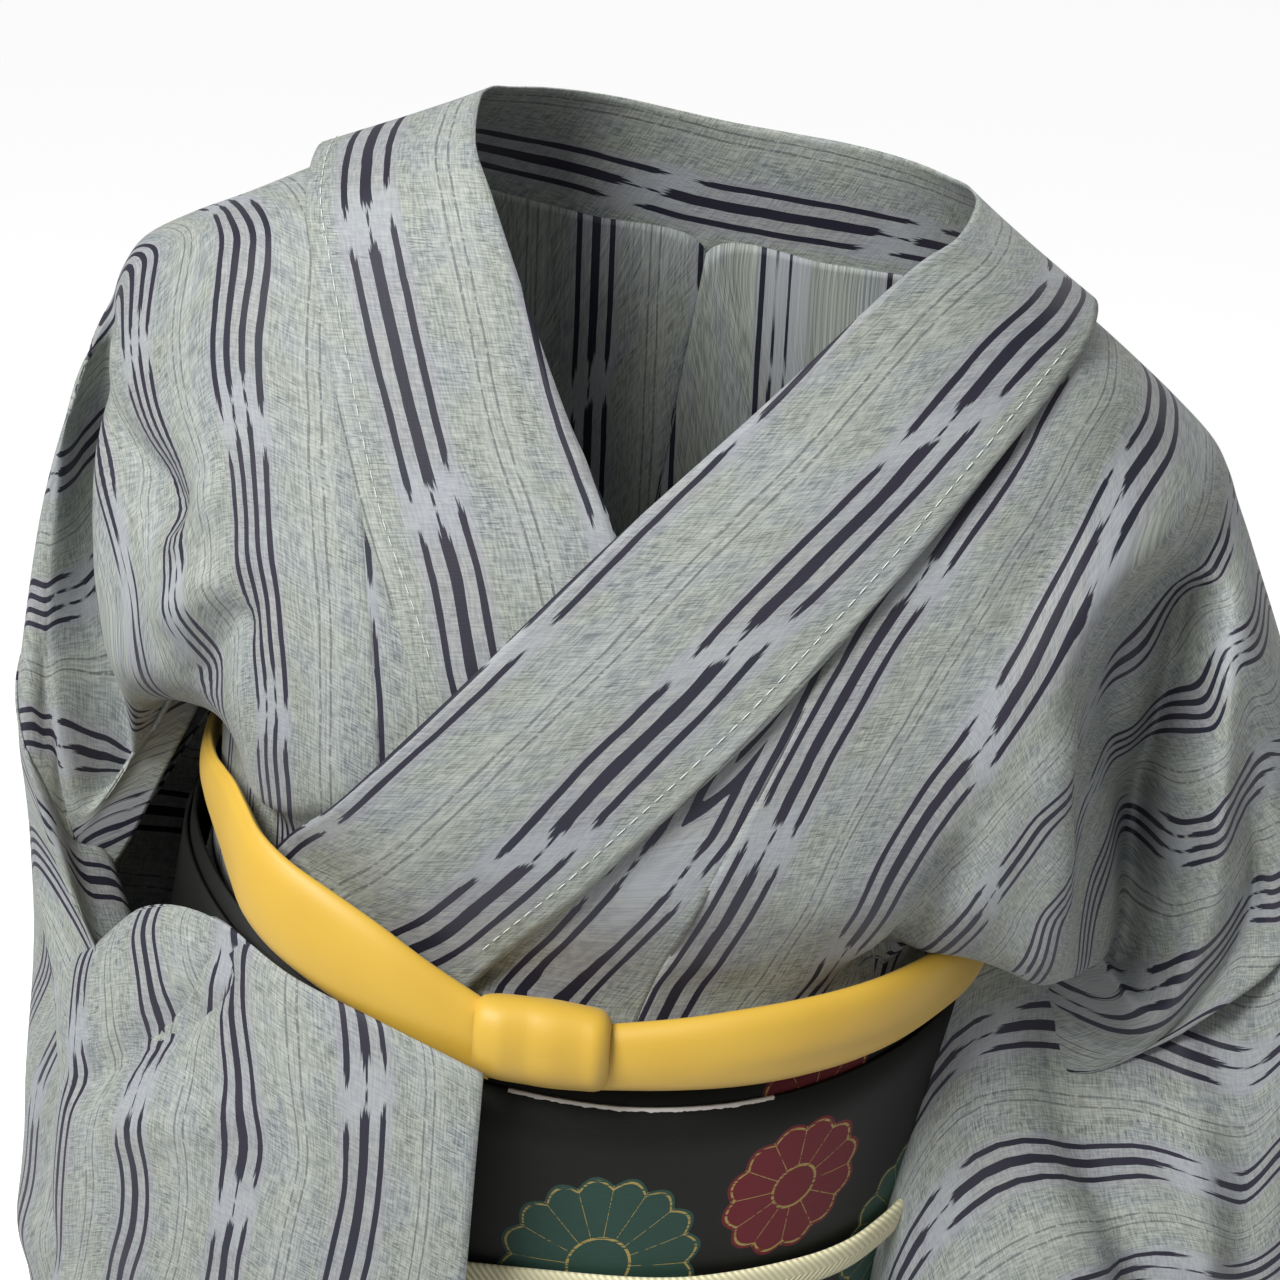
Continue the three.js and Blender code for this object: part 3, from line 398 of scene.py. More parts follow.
# The dark threads of a group, in bands: from, to, how much later their break comes in mm, and
# the band's share of a full break. A stripe's core runs further into the break than its sides.
THREE_STRIPES = [
    (4.0, 4.6, -6, 1.0), (4.6, 5.5, -6, 0.6), (5.5, 6.0, -5, 0.9),
    (9.7, 10.3, 4, 1.0), (10.3, 11.2, 3, 0.75), (11.2, 12.0, 0, 0.5), (12.0, 12.8, 4, 0.9),
    (16.5, 17.1, 7, 1.0), (17.1, 18.0, 7, 0.6), (18.0, 18.5, 6, 0.9)]
FOUR_STRIPES = [
    (2.8, 3.4, 5, 1.0), (3.4, 4.4, 5, 0.6), (4.4, 4.9, 6, 0.9),
    (7.8, 8.4, -5, 0.9), (8.4, 9.5, -5, 0.5), (9.5, 10.0, -4, 1.0),
    (12.8, 13.4, 1, 1.0), (13.4, 14.5, 1, 0.5), (14.5, 15.0, 2, 0.9),
    (17.8, 18.4, 9, 0.9), (18.4, 19.4, 9, 0.6), (19.4, 19.9, 8, 1.0)]
STRIPES_MIDDLE = 11.5
# The fine lines between two groups: from, to and how dark.
FINE_LINES = [(32.5, 33.2, 1.0), (34.4, 34.8, 0.35), (36.1, 36.8, 1.0), (38.6, 39.0, 0.3)]
LINES_MIDDLE = 34.5
# The groups across the loom, in order: stripes in the group, the place of its break along the
# cloth, in mm of BREAK_EVERY, and whether fine broken lines follow it.
GROUPS = [
    (3, 23, 1), (3, 29, 1), (3, 60, 1), (4, 10, 1), (3, 80, 1), (3, 40, 1), (4, 70, 0), (4, 9, 0),
    (3, 20, 1), (3, 60, 1), (3, 28, 1), (4, 97, 1), (4, 95, 1), (4, 40, 1), (3, 45, 1), (3, 17, 1),
    (3, 5, 1), (0, 50, 1), (4, 10, 1), (4, 70, 1), (3, 10, 1), (4, 85, 1), (3, 98, 1), (4, 90, 1),
    (4, 50, 1), (3, 30, 1), (3, 51, 1), (3, 68, 1), (3, 4, 1), (0, 60, 1), (3, 20, 1)]
# How yarn and dye vary over the silk: what varies, the size of a patch across the loom and
# along the cloth in mm, how much detail is in it, and where its pattern starts.
UNEVEN = [
    ("warp", 33.33, 55.56, 2.0, 0.0), ("thread", 0.625, 20.0, 2.0, 2.0),
    ("tied end", 0.4545, 50.0, 2.0, 5.0), ("fine line", 2.0, 2.381, 2.0, 9.0),
    ("cloud", 22.22, 28.57, 3.0, 21.0), ("warp yarn", 0.6667, 6.25, 2.0, 3.0),
    ("weft yarn", 6.25, 0.6667, 2.0, 7.0), ("nub", 4.167, 0.5882, 1.0, 11.0),
    ("nub patch", 20.0, 33.33, 1.0, 13.0), ("ink", 50.0, 28.57, 1.0, 17.0)]
# The belt's roundels: the middle, around and up the belt in mm, the radius, the silk and the petals.
ROUNDELS = [
    (38.0, -62.0, 36.0, "#2F4A41", 16), (104.0, -40.0, 27.0, "#6C232B", 12),
    (-52.0, -112.0, 30.0, "#6C232B", 12), (168.0, -84.0, 34.0, "#2F4A41", 16)]


def srgb(code):
    """An sRGB hex value as a linear colour."""
    parts = [int(code[k:k + 2], 16) / 255 for k in (1, 3, 5)]
    return [p / 12.92 if p <= 0.04045 else ((p + 0.055) / 1.055) ** 2.4 for p in parts] + [1]


def add_node(tree, kind, *inputs, **named):
    """Adds a node and gives its first output. inputs go into its sockets in order. A named
    value goes into the socket of that name, or, in small letters, is a setting."""
    node = tree.nodes.new("ShaderNode" + kind)
    fed = {}
    for key, value in named.items():
        if key[0].isupper():
            fed[key.replace("_", " ")] = value
        else:
            setattr(node, key, value)
    pairs = list(zip([socket for socket in node.inputs if socket.enabled], inputs))
    pairs += [(node.inputs[key], value) for key, value in fed.items()]
    for socket, value in pairs:
        if isinstance(value, bpy.types.NodeSocket):
            tree.links.new(value, socket)
        elif value is not None:
            socket.default_value = value
    return next(socket for socket in node.outputs if socket.enabled)


def new_material(name):
    made = bpy.data.materials.new(name)
    made.use_nodes = True
    return made, made.node_tree, made.node_tree.nodes["Principled BSDF"]


def set_chart(output, full, chart):
    """Fills a colour bar with hard steps: each from, to and value, and nothing between them."""
    bar = output.node.color_ramp
    bar.interpolation = "CONSTANT"
    bar.elements.remove(bar.elements[1])
    bar.elements[0].position = 0
    bar.elements[0].color = NO_THREAD
    starts = [start for start, _, _ in chart]
    for start, end, value in chart:
        place = bar.elements[0] if start == 0 else bar.elements.new(start / full)
        place.color = (*value, 1)
        if end is not None and end not in starts:
            bar.elements.new(end / full).color = NO_THREAD


def ikat_stripes(tree, inside, place, along, kind, vary):
    """Where the threads of the stripes are dyed, and how far along the cloth each place is from
    the middle of the nearest break. kind is the group's stripes, break and lines."""
    is_four = add_node(tree, "Math", kind.outputs[0], 0.9, operation="GREATER_THAN")
    bars = []
    for chart in (THREE_STRIPES, FOUR_STRIPES):
        bars.append(add_node(tree, "ValToRGB", place))
        set_chart(bars[-1], GROUP, [(start, end, (1.0, 0.5 + late / (2 * LATEST), share))
                                    for start, end, late, share in chart])
    stripe = add_node(tree, "Mix", is_four, *bars, data_type="RGBA")
    stripe = add_node(tree, "SeparateColor", stripe).node
    share = stripe.outputs[2]

    # the dye crept up to 4.5 mm along each thread from where it was tied
    ragged = add_node(tree, "Math", vary["tied end"], 9.0, -4.5, operation="MULTIPLY_ADD")
    from_break = add_node(tree, "Math", along, ragged, operation="ADD")
    from_break = add_node(tree, "Math", kind.outputs[1], -BREAK_EVERY, from_break, operation="MULTIPLY_ADD")
    from_break = add_node(tree, "Math", from_break, BREAK_EVERY / 2, -BREAK_EVERY / 2, operation="WRAP")
    late = add_node(tree, "Math", stripe.outputs[1], 2 * LATEST, -LATEST, operation="MULTIPLY_ADD")
    own_break = add_node(tree, "Math", from_break, late, operation="ADD")
    own_break = add_node(tree, "Math", own_break, BREAK_EVERY / 2, -BREAK_EVERY / 2, operation="WRAP")
    own_break = add_node(tree, "Math", own_break, operation="ABSOLUTE")

    # the dye ends softly over 2.4 mm, and a spot of it is left in the middle of a core's break
    past_tie = add_node(tree, "Math", share, -BREAK / 2, own_break, operation="MULTIPLY_ADD")
    dyed = add_node(tree, "MapRange", past_tie, -1.2, 1.2, interpolation_type="SMOOTHSTEP")
    is_core = add_node(tree, "Math", share, 0.55, operation="LESS_THAN")
    left_in = add_node(tree, "MapRange", own_break, 3.4, 1.8, interpolation_type="SMOOTHSTEP")
    left_in = add_node(tree, "Math", left_in, is_core, operation="MULTIPLY")
    dyed = add_node(tree, "Math", dyed, left_in, operation="MAXIMUM")
    return add_node(tree, "Math", stripe.outputs[0], dyed, operation="MULTIPLY"), from_break


def slubby_ground(tree, vary):
    """The colour of the silk between the stripes: clouds of grey and green, and in each yarn thick places
    with a painted highlight and thin ones with painted shade between."""
    cloudy = add_node(tree, "MapRange", vary["cloud"], 0.35, 0.65, interpolation_type="SMOOTHSTEP")
    ground = add_node(tree, "Mix", cloudy, srgb("#7F878A"), srgb("#838A80"), data_type="RGBA")
    for yarn, shade, light in (("warp yarn", 0.22, 0.20), ("weft yarn", 0.18, 0.16)):
        # painted shade in the yarn's thin places, and a painted highlight on its thick ones
        thick = add_node(tree, "MapRange", vary[yarn], 0.36, 0.64)
        hollow = add_node(tree, "Mix", shade, ground, srgb("#444A50"), data_type="RGBA")
        yarn_highlight = add_node(tree, "Mix", light, ground, srgb("#EEF0E6"), data_type="RGBA")
        ground = add_node(tree, "Mix", thick, hollow, yarn_highlight, data_type="RGBA")
    return ground


def striped_pongee():
    """Pongee silk woven from slubby yarn, with ikat stripes tied before dyeing: the stripes'
    ends are ragged and pale, and the ground has small dark nubs. It has a low, dry sheen."""
    made, tree, skin = new_material("striped_pongee")
    spot = add_node(tree, "UVMap", uv_map="cloth")
    parts = add_node(tree, "SeparateXYZ", spot).node
    vary = {}
    for what, wide, long, detail, start in UNEVEN:
        patch = add_node(tree, "Mapping", spot, Location=(start, start * 0.7, 0.0),
                         Scale=(1 / wide, 1 / long, 1.0))
        vary[what] = add_node(tree, "TexNoise", patch, Scale=1.0, Detail=detail, Roughness=0.55,
                              noise_dimensions="2D")

    # the warp wanders up to 0.8 mm to a side, and a thread stands up to 0.25 mm off its place
    wander = add_node(tree, "Math", vary["warp"], 1.6, -0.8, operation="MULTIPLY_ADD")
    loom = add_node(tree, "Math", parts.outputs[0], wander, operation="ADD")
    aside = add_node(tree, "Math", vary["thread"], 0.5, -0.25, operation="MULTIPLY_ADD")
    loom = add_node(tree, "Math", loom, aside, operation="ADD")
    group = add_node(tree, "Math", loom, GROUP, operation="DIVIDE")
    group = add_node(tree, "Math", group, operation="FLOOR")
    inside = add_node(tree, "Math", group, -GROUP, loom, operation="MULTIPLY_ADD")
    place = add_node(tree, "Math", inside, GROUP, operation="DIVIDE")
    full = len(GROUPS) + 1
    counted = add_node(tree, "Math", group, 0.5, operation="ADD")
    kinds = add_node(tree, "ValToRGB", add_node(tree, "Math", counted, full, operation="DIVIDE"))
    set_chart(kinds, full, [(k, None, (count / 4, start / BREAK_EVERY, lines))
                            for k, (count, start, lines) in enumerate(GROUPS)])
    kind = add_node(tree, "SeparateColor", kinds).node
    has_stripes = add_node(tree, "Math", kind.outputs[0], 0.5, operation="GREATER_THAN")
    stripes, from_break = ikat_stripes(tree, inside, place, parts.outputs[1], kind, vary)
    stripes = add_node(tree, "Math", stripes, has_stripes, operation="MULTIPLY")

    # a pale feather of half-dyed threads round each break, and a tinted ground between stripes
    middle = add_node(tree, "Math", inside, STRIPES_MIDDLE, operation="SUBTRACT")
    middle = add_node(tree, "Math", middle, operation="ABSOLUTE")
    feather = add_node(tree, "MapRange", middle, 11.5, 6.0, interpolation_type="SMOOTHSTEP")
    feather = add_node(tree, "Math", feather, has_stripes, operation="MULTIPLY")
    near_break = add_node(tree, "Math", from_break, operation="ABSOLUTE")
    near_break = add_node(tree, "MapRange", near_break, BREAK * 0.95, BREAK * 0.3,
                          interpolation_type="SMOOTHSTEP")
    feather = add_node(tree, "Math", feather, near_break, operation="MULTIPLY")
    tinted = add_node(tree, "MapRange", middle, 10.4, 8.8, interpolation_type="SMOOTHSTEP")
    tinted = add_node(tree, "Math", tinted, has_stripes, operation="MULTIPLY")

    # fine broken lines, on a paler strip of ground
    lines = add_node(tree, "ValToRGB", place)
    set_chart(lines, GROUP, [(start, end, (tone, 1.0, 1.0)) for start, end, tone in FINE_LINES])
    lines = add_node(tree, "SeparateColor", lines)
    dotted = add_node(tree, "MapRange", vary["fine line"], 0.30, 0.46, interpolation_type="SMOOTHSTEP")
    lines = add_node(tree, "Math", lines, dotted, operation="MULTIPLY")
    lines = add_node(tree, "Math", lines, kind.outputs[2], operation="MULTIPLY")
    pale_strip = add_node(tree, "Math", inside, LINES_MIDDLE, operation="SUBTRACT")
    pale_strip = add_node(tree, "Math", pale_strip, operation="ABSOLUTE")
    pale_strip = add_node(tree, "MapRange", pale_strip, 6.5, 4.0, interpolation_type="SMOOTHSTEP")
    pale_strip = add_node(tree, "Math", pale_strip, kind.outputs[2], operation="MULTIPLY")

    # small dark nubs come in patches
    nubs = add_node(tree, "Math", vary["nub"], 0.66, operation="GREATER_THAN")
    patches = add_node(tree, "MapRange", vary["nub patch"], 0.40, 0.62, interpolation_type="SMOOTHSTEP")
    nubs = add_node(tree, "Math", nubs, patches, operation="MULTIPLY")

    ground = slubby_ground(tree, vary)
    for where, strength, colour in (
            (nubs, 0.6, "#43454D"), (pale_strip, 0.14, "#D2D6CC"), (tinted, 0.4, "#9B99A3"),
            (feather, 0.35, "#AEB4BA"), (lines, 0.62, "#4A4B51")):
        share = add_node(tree, "Math", where, strength, operation="MULTIPLY")
        ground = add_node(tree, "Mix", share, ground, srgb(colour), data_type="RGBA")
    ink = add_node(tree, "Mix", vary["ink"], srgb("#171A2B"), srgb("#241F2E"), data_type="RGBA")
    colour = add_node(tree, "Mix", stripes, ground, ink, data_type="RGBA")
    tree.links.new(colour, skin.inputs["Base Color"])
    skin.inputs["Roughness"].default_value = 0.62
    skin.inputs["IOR"].default_value = 1.45
    skin.inputs["Sheen Weight"].default_value = 0.08
    skin.inputs["Sheen Roughness"].default_value = 0.4
    rib = add_node(tree, "Math", vary["warp yarn"], vary["weft yarn"], operation="ADD")
    relief = add_node(tree, "Bump", Height=rib, Strength=0.25, Distance=0.3 * MM)
    tree.links.new(relief, skin.inputs["Normal"])
    return made


def scarf_crepe():
    """Silk crepe of twisted yarn, 0.6 mm from pebble to pebble, dyed yellow in soft clouds. It
    has a soft sheen."""
    made, tree, skin = new_material("yellow_silk_crepe")
    spot = add_node(tree, "UVMap", uv_map="cloth")
    pebble = add_node(tree, "TexNoise", spot, Scale=1 / 0.625, Detail=2.0)
    cloud = add_node(tree, "TexNoise", spot, Scale=1 / 33.33, Detail=1.0)
    colour = add_node(tree, "Mix", cloud, srgb("#E0B744"), srgb("#D3A836"), data_type="RGBA")
    tree.links.new(colour, skin.inputs["Base Color"])
    skin.inputs["Roughness"].default_value = 0.48
    skin.inputs["Sheen Weight"].default_value = 0.12
    relief = add_node(tree, "Bump", Height=pebble, Strength=0.2, Distance=0.2 * MM)
    tree.links.new(relief, skin.inputs["Normal"])
    return made


def with_roundel(tree, spot, rib, colour, around, up, radius, silk, petals):
    """colour with one roundel woven in: petals round a disc, with gold thread round the disc,
    between the petals and just inside the rim."""
    disc = 0.30 * radius
    offset = add_node(tree, "VectorMath", spot, (around, up, 0.0), operation="SUBTRACT")
    away = add_node(tree, "VectorMath", offset, operation="LENGTH")
    ways = add_node(tree, "SeparateXYZ", offset).node
    petal = add_node(tree, "Math", ways.outputs[1], ways.outputs[0], operation="ARCTAN2")
    petal = add_node(tree, "Math", petal, petals / 2, operation="MULTIPLY")
    petal = add_node(tree, "Math", petal, operation="SINE")
    petal = add_node(tree, "Math", petal, operation="ABSOLUTE")
    rim = add_node(tree, "Math", petal, 0.10 * radius, 0.88 * radius, operation="MULTIPLY_ADD")
    inside = add_node(tree, "Math", away, rim, operation="LESS_THAN")
    hollow = [0.8 * part for part in srgb(silk)[:3]] + [1]
    woven = add_node(tree, "Mix", rib, srgb(silk), hollow, data_type="RGBA")
    colour = add_node(tree, "Mix", inside, colour, woven, data_type="RGBA")

    ray = add_node(tree, "Math", petal, away, operation="MULTIPLY")
    ray = add_node(tree, "Math", ray, 0.9, operation="LESS_THAN")
    past_disc = add_node(tree, "Math", away, disc, operation="GREATER_THAN")
    ray = add_node(tree, "Math", ray, past_disc, operation="MULTIPLY")
    hoop = add_node(tree, "Math", away, disc, operation="SUBTRACT")
    hoop = add_node(tree, "Math", hoop, operation="ABSOLUTE")
    hoop = add_node(tree, "Math", hoop, 0.5, operation="LESS_THAN")
    edge = add_node(tree, "Math", rim, 1.6, operation="SUBTRACT")
    edge = add_node(tree, "Math", away, edge, operation="SUBTRACT")
    edge = add_node(tree, "Math", edge, operation="ABSOLUTE")
    edge = add_node(tree, "Math", edge, 0.45, operation="LESS_THAN")
    gold = add_node(tree, "Math", ray, hoop, operation="MAXIMUM")
    gold = add_node(tree, "Math", gold, edge, operation="MAXIMUM")
    gold = add_node(tree, "Math", gold, inside, operation="MULTIPLY")
    on_rib = add_node(tree, "MapRange", rib, 0.36, 0.5, interpolation_type="SMOOTHSTEP")
    gold = add_node(tree, "Math", gold, on_rib, operation="MULTIPLY")
    return add_node(tree, "Mix", gold, colour, srgb("#A89356"), data_type="RGBA")


def obi_satin():
    """Black obi silk with a close rib, 0.7 mm from one to the next. Its roundels are woven in
    green, wine red and gold thread; they are plain stock ones. It has a soft satin light."""
    made, tree, skin = new_material("black_figured_obi_silk")
    spot = add_node(tree, "UVMap", uv_map="cloth")
    place = add_node(tree, "Mapping", spot, Scale=(1 / 8.333, 1 / 0.7143, 1.0))
    rib = add_node(tree, "TexNoise", place, Scale=1.0, Detail=2.0, noise_dimensions="2D")
    colour = add_node(tree, "Mix", rib, srgb("#0E0F0D"), srgb("#171815"), data_type="RGBA")
    for roundel in ROUNDELS:
        colour = with_roundel(tree, spot, rib, colour, *roundel)

    # a painted highlight lies along the front of the top edge, of uneven width and broken in places
    place = add_node(tree, "SeparateXYZ", spot).node
    highlight_width = add_node(tree, "Mapping", spot, Scale=(1 / 4, 0.0, 1.0))
    highlight_width = add_node(tree, "TexNoise", highlight_width, Scale=1.0, Detail=3.0)
    lowest = add_node(tree, "Math", highlight_width, -2.4, 0.1, operation="MULTIPLY_ADD")
    shown = add_node(tree, "Math", place.outputs[1], lowest, operation="GREATER_THAN")
    from_middle = add_node(tree, "Math", place.outputs[0], TOP_HIGHLIGHT_MIDDLE, operation="SUBTRACT")
    from_middle = add_node(tree, "Math", from_middle, operation="ABSOLUTE")
    in_front = add_node(tree, "Math", from_middle, TOP_HIGHLIGHT_LENGTH / 2, operation="LESS_THAN")
    shown = add_node(tree, "Math", shown, in_front, operation="MULTIPLY")
    colour = add_node(tree, "Mix", shown, colour, srgb("#E9E4E0"), data_type="RGBA")
    tree.links.new(colour, skin.inputs["Base Color"])
    skin.inputs["Roughness"].default_value = 0.55
    skin.inputs["IOR"].default_value = 1.28
    relief = add_node(tree, "Bump", Height=rib, Strength=0.2, Distance=0.2 * MM)
    tree.links.new(relief, skin.inputs["Normal"])
    return made


def flat_braid():
    """A flat braid of cream silk cords: chevrons, each 2.5 mm long, with painted shade in their grooves and
    a soft dry light.
    """
    made, tree, skin = new_material("cream_silk_braid")
    parts = add_node(tree, "SeparateXYZ", add_node(tree, "UVMap", uv_map="cloth")).node
    lean = add_node(tree, "Math", parts.outputs[0], operation="ABSOLUTE")
    course = add_node(tree, "Math", lean, 0.9, parts.outputs[1], operation="MULTIPLY_ADD")
    course = add_node(tree, "Math", course, 2 * math.pi / CHEVRON, operation="MULTIPLY")
    plait = add_node(tree, "Math", course, operation="SINE")
    # the chevrons' low places, their grooves, carry painted shade
    tone = add_node(tree, "MapRange", plait, -1.0, 0.2)
    colour = add_node(tree, "Mix", tone, srgb("#D8CFA0"), srgb("#F1ECC6"), data_type="RGBA")
    tree.links.new(colour, skin.inputs["Base Color"])
    skin.inputs["Roughness"].default_value = 0.65
    skin.inputs["Sheen Weight"].default_value = 0.15
    relief = add_node(tree, "Bump", Height=plait, Strength=0.5, Distance=0.4 * MM)
    tree.links.new(relief, skin.inputs["Normal"])
    return made


def basting_cotton():
    """Loose white basting cotton, two-ply: fuzz of 0.25 mm, and quite dull."""
    made, tree, skin = new_material("white_basting_cotton")
    place = add_node(tree, "TexCoord").node.outputs["Object"]
    fuzz = add_node(tree, "TexNoise", place, Scale=1 / (0.25 * MM))
    colour = add_node(tree, "Mix", fuzz, srgb("#E6E8E4"), srgb("#F6F7F4"), data_type="RGBA")
    tree.links.new(colour, skin.inputs["Base Color"])
    skin.inputs["Roughness"].default_value = 0.9
    return made


PONGEE = striped_pongee()
OBI_SILK = obi_satin()
SCARF_CREPE = scarf_crepe()
BRAID = flat_braid()
COTTON = basting_cotton()

# ---------------------------------------------------------------- the kimono


def dress(piece, nodes, finish):
    piece.data.materials.append(finish)
    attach(piece, "root")
    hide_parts(*nodes)


def eased(coarse, shifts):
    """Parts of a solid's grid eased over: each a move in mm, and its middle and its reach, as
    lines and columns."""
    lines, columns = np.meshgrid(*(np.arange(size) for size in coarse.shape[:2]), indexing="ij")
    moved = coarse
    for move, (line, column), (line_reach, column_reach) in shifts:
        share = np.exp(-((lines - line) / line_reach) ** 2 - ((columns - column) / column_reach) ** 2)
        moved = moved + share[..., None] * np.array(move, float)
    return moved


def sewn_edges(rows, seam=0.7):
    """rows with both long edges carried a little under their neighbours, where they are sewn."""
    wider = rows.copy()
    for edge, inner in ((0, 1), (-1, -2)):
        wider[:, edge] += seam * units(rows[:, edge] - rows[:, inner])
    return wider


def behind_shoulder(loom, rows, wide, down, over):
    """The groups with those behind the shoulder, from the line named over, put right, and how far
    each line is behind it. There they follow the seam down the back, and further out the width
    of the cloth."""
    far = (rows[..., 0] - rows[-1, 0, 0]) * np.sign(rows[-1, -1, 0] - rows[-1, 0, 0])
    far = np.maximum.accumulate(far, axis=1)
    reached = np.array([np.interp(BACK_SEAM_REACH, *line) for line in zip(far, wide)])[:, None]
    back = np.minimum(far, BACK_SEAM_REACH) + np.maximum(wide - reached, 0)
    lines = np.arange(len(rows)) / down
    share = softly(np.clip((lines - over) / 2.0 + 0.5, 0, 1)[:, None])
    return loom * (1 - share) + (back + (loom - back)[int(over * down)].mean()) * share, share


def silk_sheet(name, node, start, beside, wall=KIMONO_WALL, down=6,
               across=6, first_group=0.0, from_last=False, group_wide=GROUP, stripes=(), turns=(), folds=(),
               over=None, shifts=()):
    """One panel. stripes and turns lead the groups of stripes, and the way along the cloth, over
    the panel; folds are laid in after. first_group counts groups at the panel's first edge.
    From the line named over, behind the shoulder, the groups follow the seam down the back."""
    coarse, outward = cloth_rows(node, wall, start, beside)
    rows = sewn_edges(finer_cloth(eased(coarse, shifts), down, across))
    wide = lengths_across(rows)
    if from_last:
        wide = wide[:, -1:] - wide
    loom = GROUP * first_group + wide * GROUP / group_wide
    loom = led(loom, [(GROUP * k, course) for k, course in stripes], down, across)
    along = own_lengths(rows)
    bent = led(along, turns, down, across)
    if over:
        loom, share = behind_shoulder(loom, rows, wide, down, over)
        bent = bent * (1 - share) + along * share
    rows = creased(rows, folds, down, across, outward)
    piece = sheet_piece(name, rows, np.stack([loom, bent], axis=-1), outward=outward)
    dress(piece, [node], PONGEE)
    return rows, outward


silk_sheet(
    "left_body_panel", "body_left", (-17, -106, -311), (96, 0, -288),
    first_group=8.04, down=8, across=10, over=12.6,
    stripes=[
        (8.25, [(10.5, 0.4), (9, 0.5), (8.2, 0.5), (7.1, 0.4), (5.5, 0.4), (4.1, 0.4), (3, 0.25),
                (1.5, 0.2)]),
        (8.75, [(12, 1.4), (10.1, 1.5), (9, 1.4), (8, 1.5), (7.1, 1.4), (5.5, 1.4), (4.6, 1.4), (3, 1.3)]),
        (9.25, [(12, 3), (11, 2.65), (10.25, 2.75), (9.25, 2.9), (8.6, 2.9), (7.9, 2.7), (6.75, 2.25),
                (5.5, 2), (3, 2.1)]),
        (9.43, [(11, 3.2), (10.25, 3.3), (9.25, 3.45), (8.6, 3.45), (7.9, 3.2)]),
        (9.75, [(7.2, 3.7), (6.5, 3.1)]),
        (10.25, [(10.75, 7.1), (10.1, 6.75), (8.9, 6.6), (8.1, 5.75), (6.4, 3.9), (5.75, 3.6), (5.1, 3.4)]),
        (11.25, [(11.75, 8.4), (10.4, 8.25), (9.6, 8), (8.4, 7.9), (7.4, 6.75), (6.75, 5.25), (6.75, 4.1)]),
        (12.25, [(9.9, 9.75), (7.25, 8.25), (6.1, 8), (5.6, 6.75), (5.75, 5), (5.5, 3.9)]),
        (13.25, [(8.4, 11.25), (5.1, 9.1), (4.5, 8.1), (3.6, 8.1)])],
    folds=[
        (27, 11, [(11, 6.5), (9.9, 7.1), (8.6, 7.25), (7.4, 7), (6.1, 6.4), (5.25, 6.2), (4.5, 6)],
         (0, 1, 0)),
        (6, 8, [(10.1, 8.2), (8.75, 8.35), (7.25, 8.3), (5.75, 8)], (0, -1, 0)),
        (5, 9, [(8.2, 4.6), (7.6, 4.1), (6.4, 4.1), (4.9, 3.9), (3.6, 3.7)]),
        (-9, 8, [(6.6, 2.9), (5.25, 2.7), (3.8, 2.5), (2.6, 2.3)]),
        (-3, 14, [(12.2, 2.2), (10.5, 2.3), (8.8, 2.1)]),
        (-4, 12, [(15, 3.2), (17.5, 4), (20.5, 4.6)]),
        (3, 12, [(14.5, 6.5), (17, 7), (20, 6.6)]),
        (-5, 14, [(16, 9.2), (19, 8.8), (22, 9)])])

# by the right front's seam the way along the cloth stays as it is
UNTURNED = [(line, column) for column in (0, 1.4, 2.6) for line in (3, 5, 7, 9, 11)]
silk_sheet(
    "right_body_panel", "body_right", (-98, -95, -294), (-171, 0, -251),
    first_group=17.3, down=8, across=10, over=12.6,
    stripes=[
        (17.75, [(12, 0.35), (10.5, 0.5), (9.1, 0.6), (7.75, 0.62), (6.6, 0.62), (5.5, 0.75), (4, 0.8)]),
        (18.25, [(12.1, 1.4), (11.5, 1.6), (10.75, 1.75), (8.9, 1.9), (8.25, 1.9), (7.6, 2), (6.4, 1.9),
                 (4.9, 1.9), (3, 2)]),
        (18.75, [(11.6, 2.75), (10.9, 2.75), (10.25, 2.75), (9.6, 2.75)]),
        (19.25, [(11.75, 3.6), (11, 3.6), (10.25, 3.5), (9.25, 3.1), (8.75, 2.9), (8.4, 2.6), (7.6, 3),
                 (6.6, 2.9), (6.25, 2.5)]),
        (19.75, [(10.4, 7), (11, 8)]),
        (20.25, [(8.6, 4), (9.6, 7.9), (10.7, 9)]),
        (20.75, [(7.9, 4), (8.6, 7.75), (9.5, 9), (10.8, 10)]),
        (21.25, [(7.1, 3.75), (7.4, 7.4), (7.75, 8.1), (8.1, 9), (9, 10), (10.9, 11)]),
        (21.75, [(6.5, 8.25), (6, 7), (6.9, 9), (7.55, 10), (9, 11)]),
        (22.25, [(5.4, 8.5), (4.9, 6.9), (5.6, 9), (6, 10), (7, 11)]),
        (22.75, [(4.4, 8.6), (5, 10), (5.3, 11)])],
    shifts=[((8, 45, 12), (3.8, 3.6), (1.3, 1.0)), ((-8, 0, -7), (4, 2), (1.0, 0.7))],
    turns=[
        (224, [(8.6, 4.1), (7.4, 4), (6.2, 4.2)]), (290, [(9.6, 7.9), (8.6, 7.75), (11.6, 6.75)]),
        (285, [(7.4, 7.4)]), (295, [(6.5, 8.25), (5.4, 8.5)]), (272, [(4.9, 6.9), (6, 7)]),
        (325, [(10.9, 11), (9, 11), (7, 11)]), (None, UNTURNED)],
    folds=[
        (-10, 9, [(9.7, 4.2), (8.9, 3.5), (8.6, 3.1), (8.25, 2.9), (7.9, 2.6)]),
        (5, 8, [(8.7, 2.2), (8.1, 2.5), (7.6, 2.9)]),
        (6, 10, [(7.5, 2.3), (7.1, 2.6), (6.8, 3.2)]),
        (-8, 9, [(7, 1.9), (6.75, 2.25), (6.2, 2.6), (5.4, 2.9)]),
        (-5, 11, [(10.8, 5.2), (9.2, 5.4), (7.4, 5.6)]),
        (-4, 12, [(15, 3.2), (17.5, 4), (20.5, 4.4)]),
        (-5, 14, [(16, 8.8), (19, 8.6), (22, 9)])])

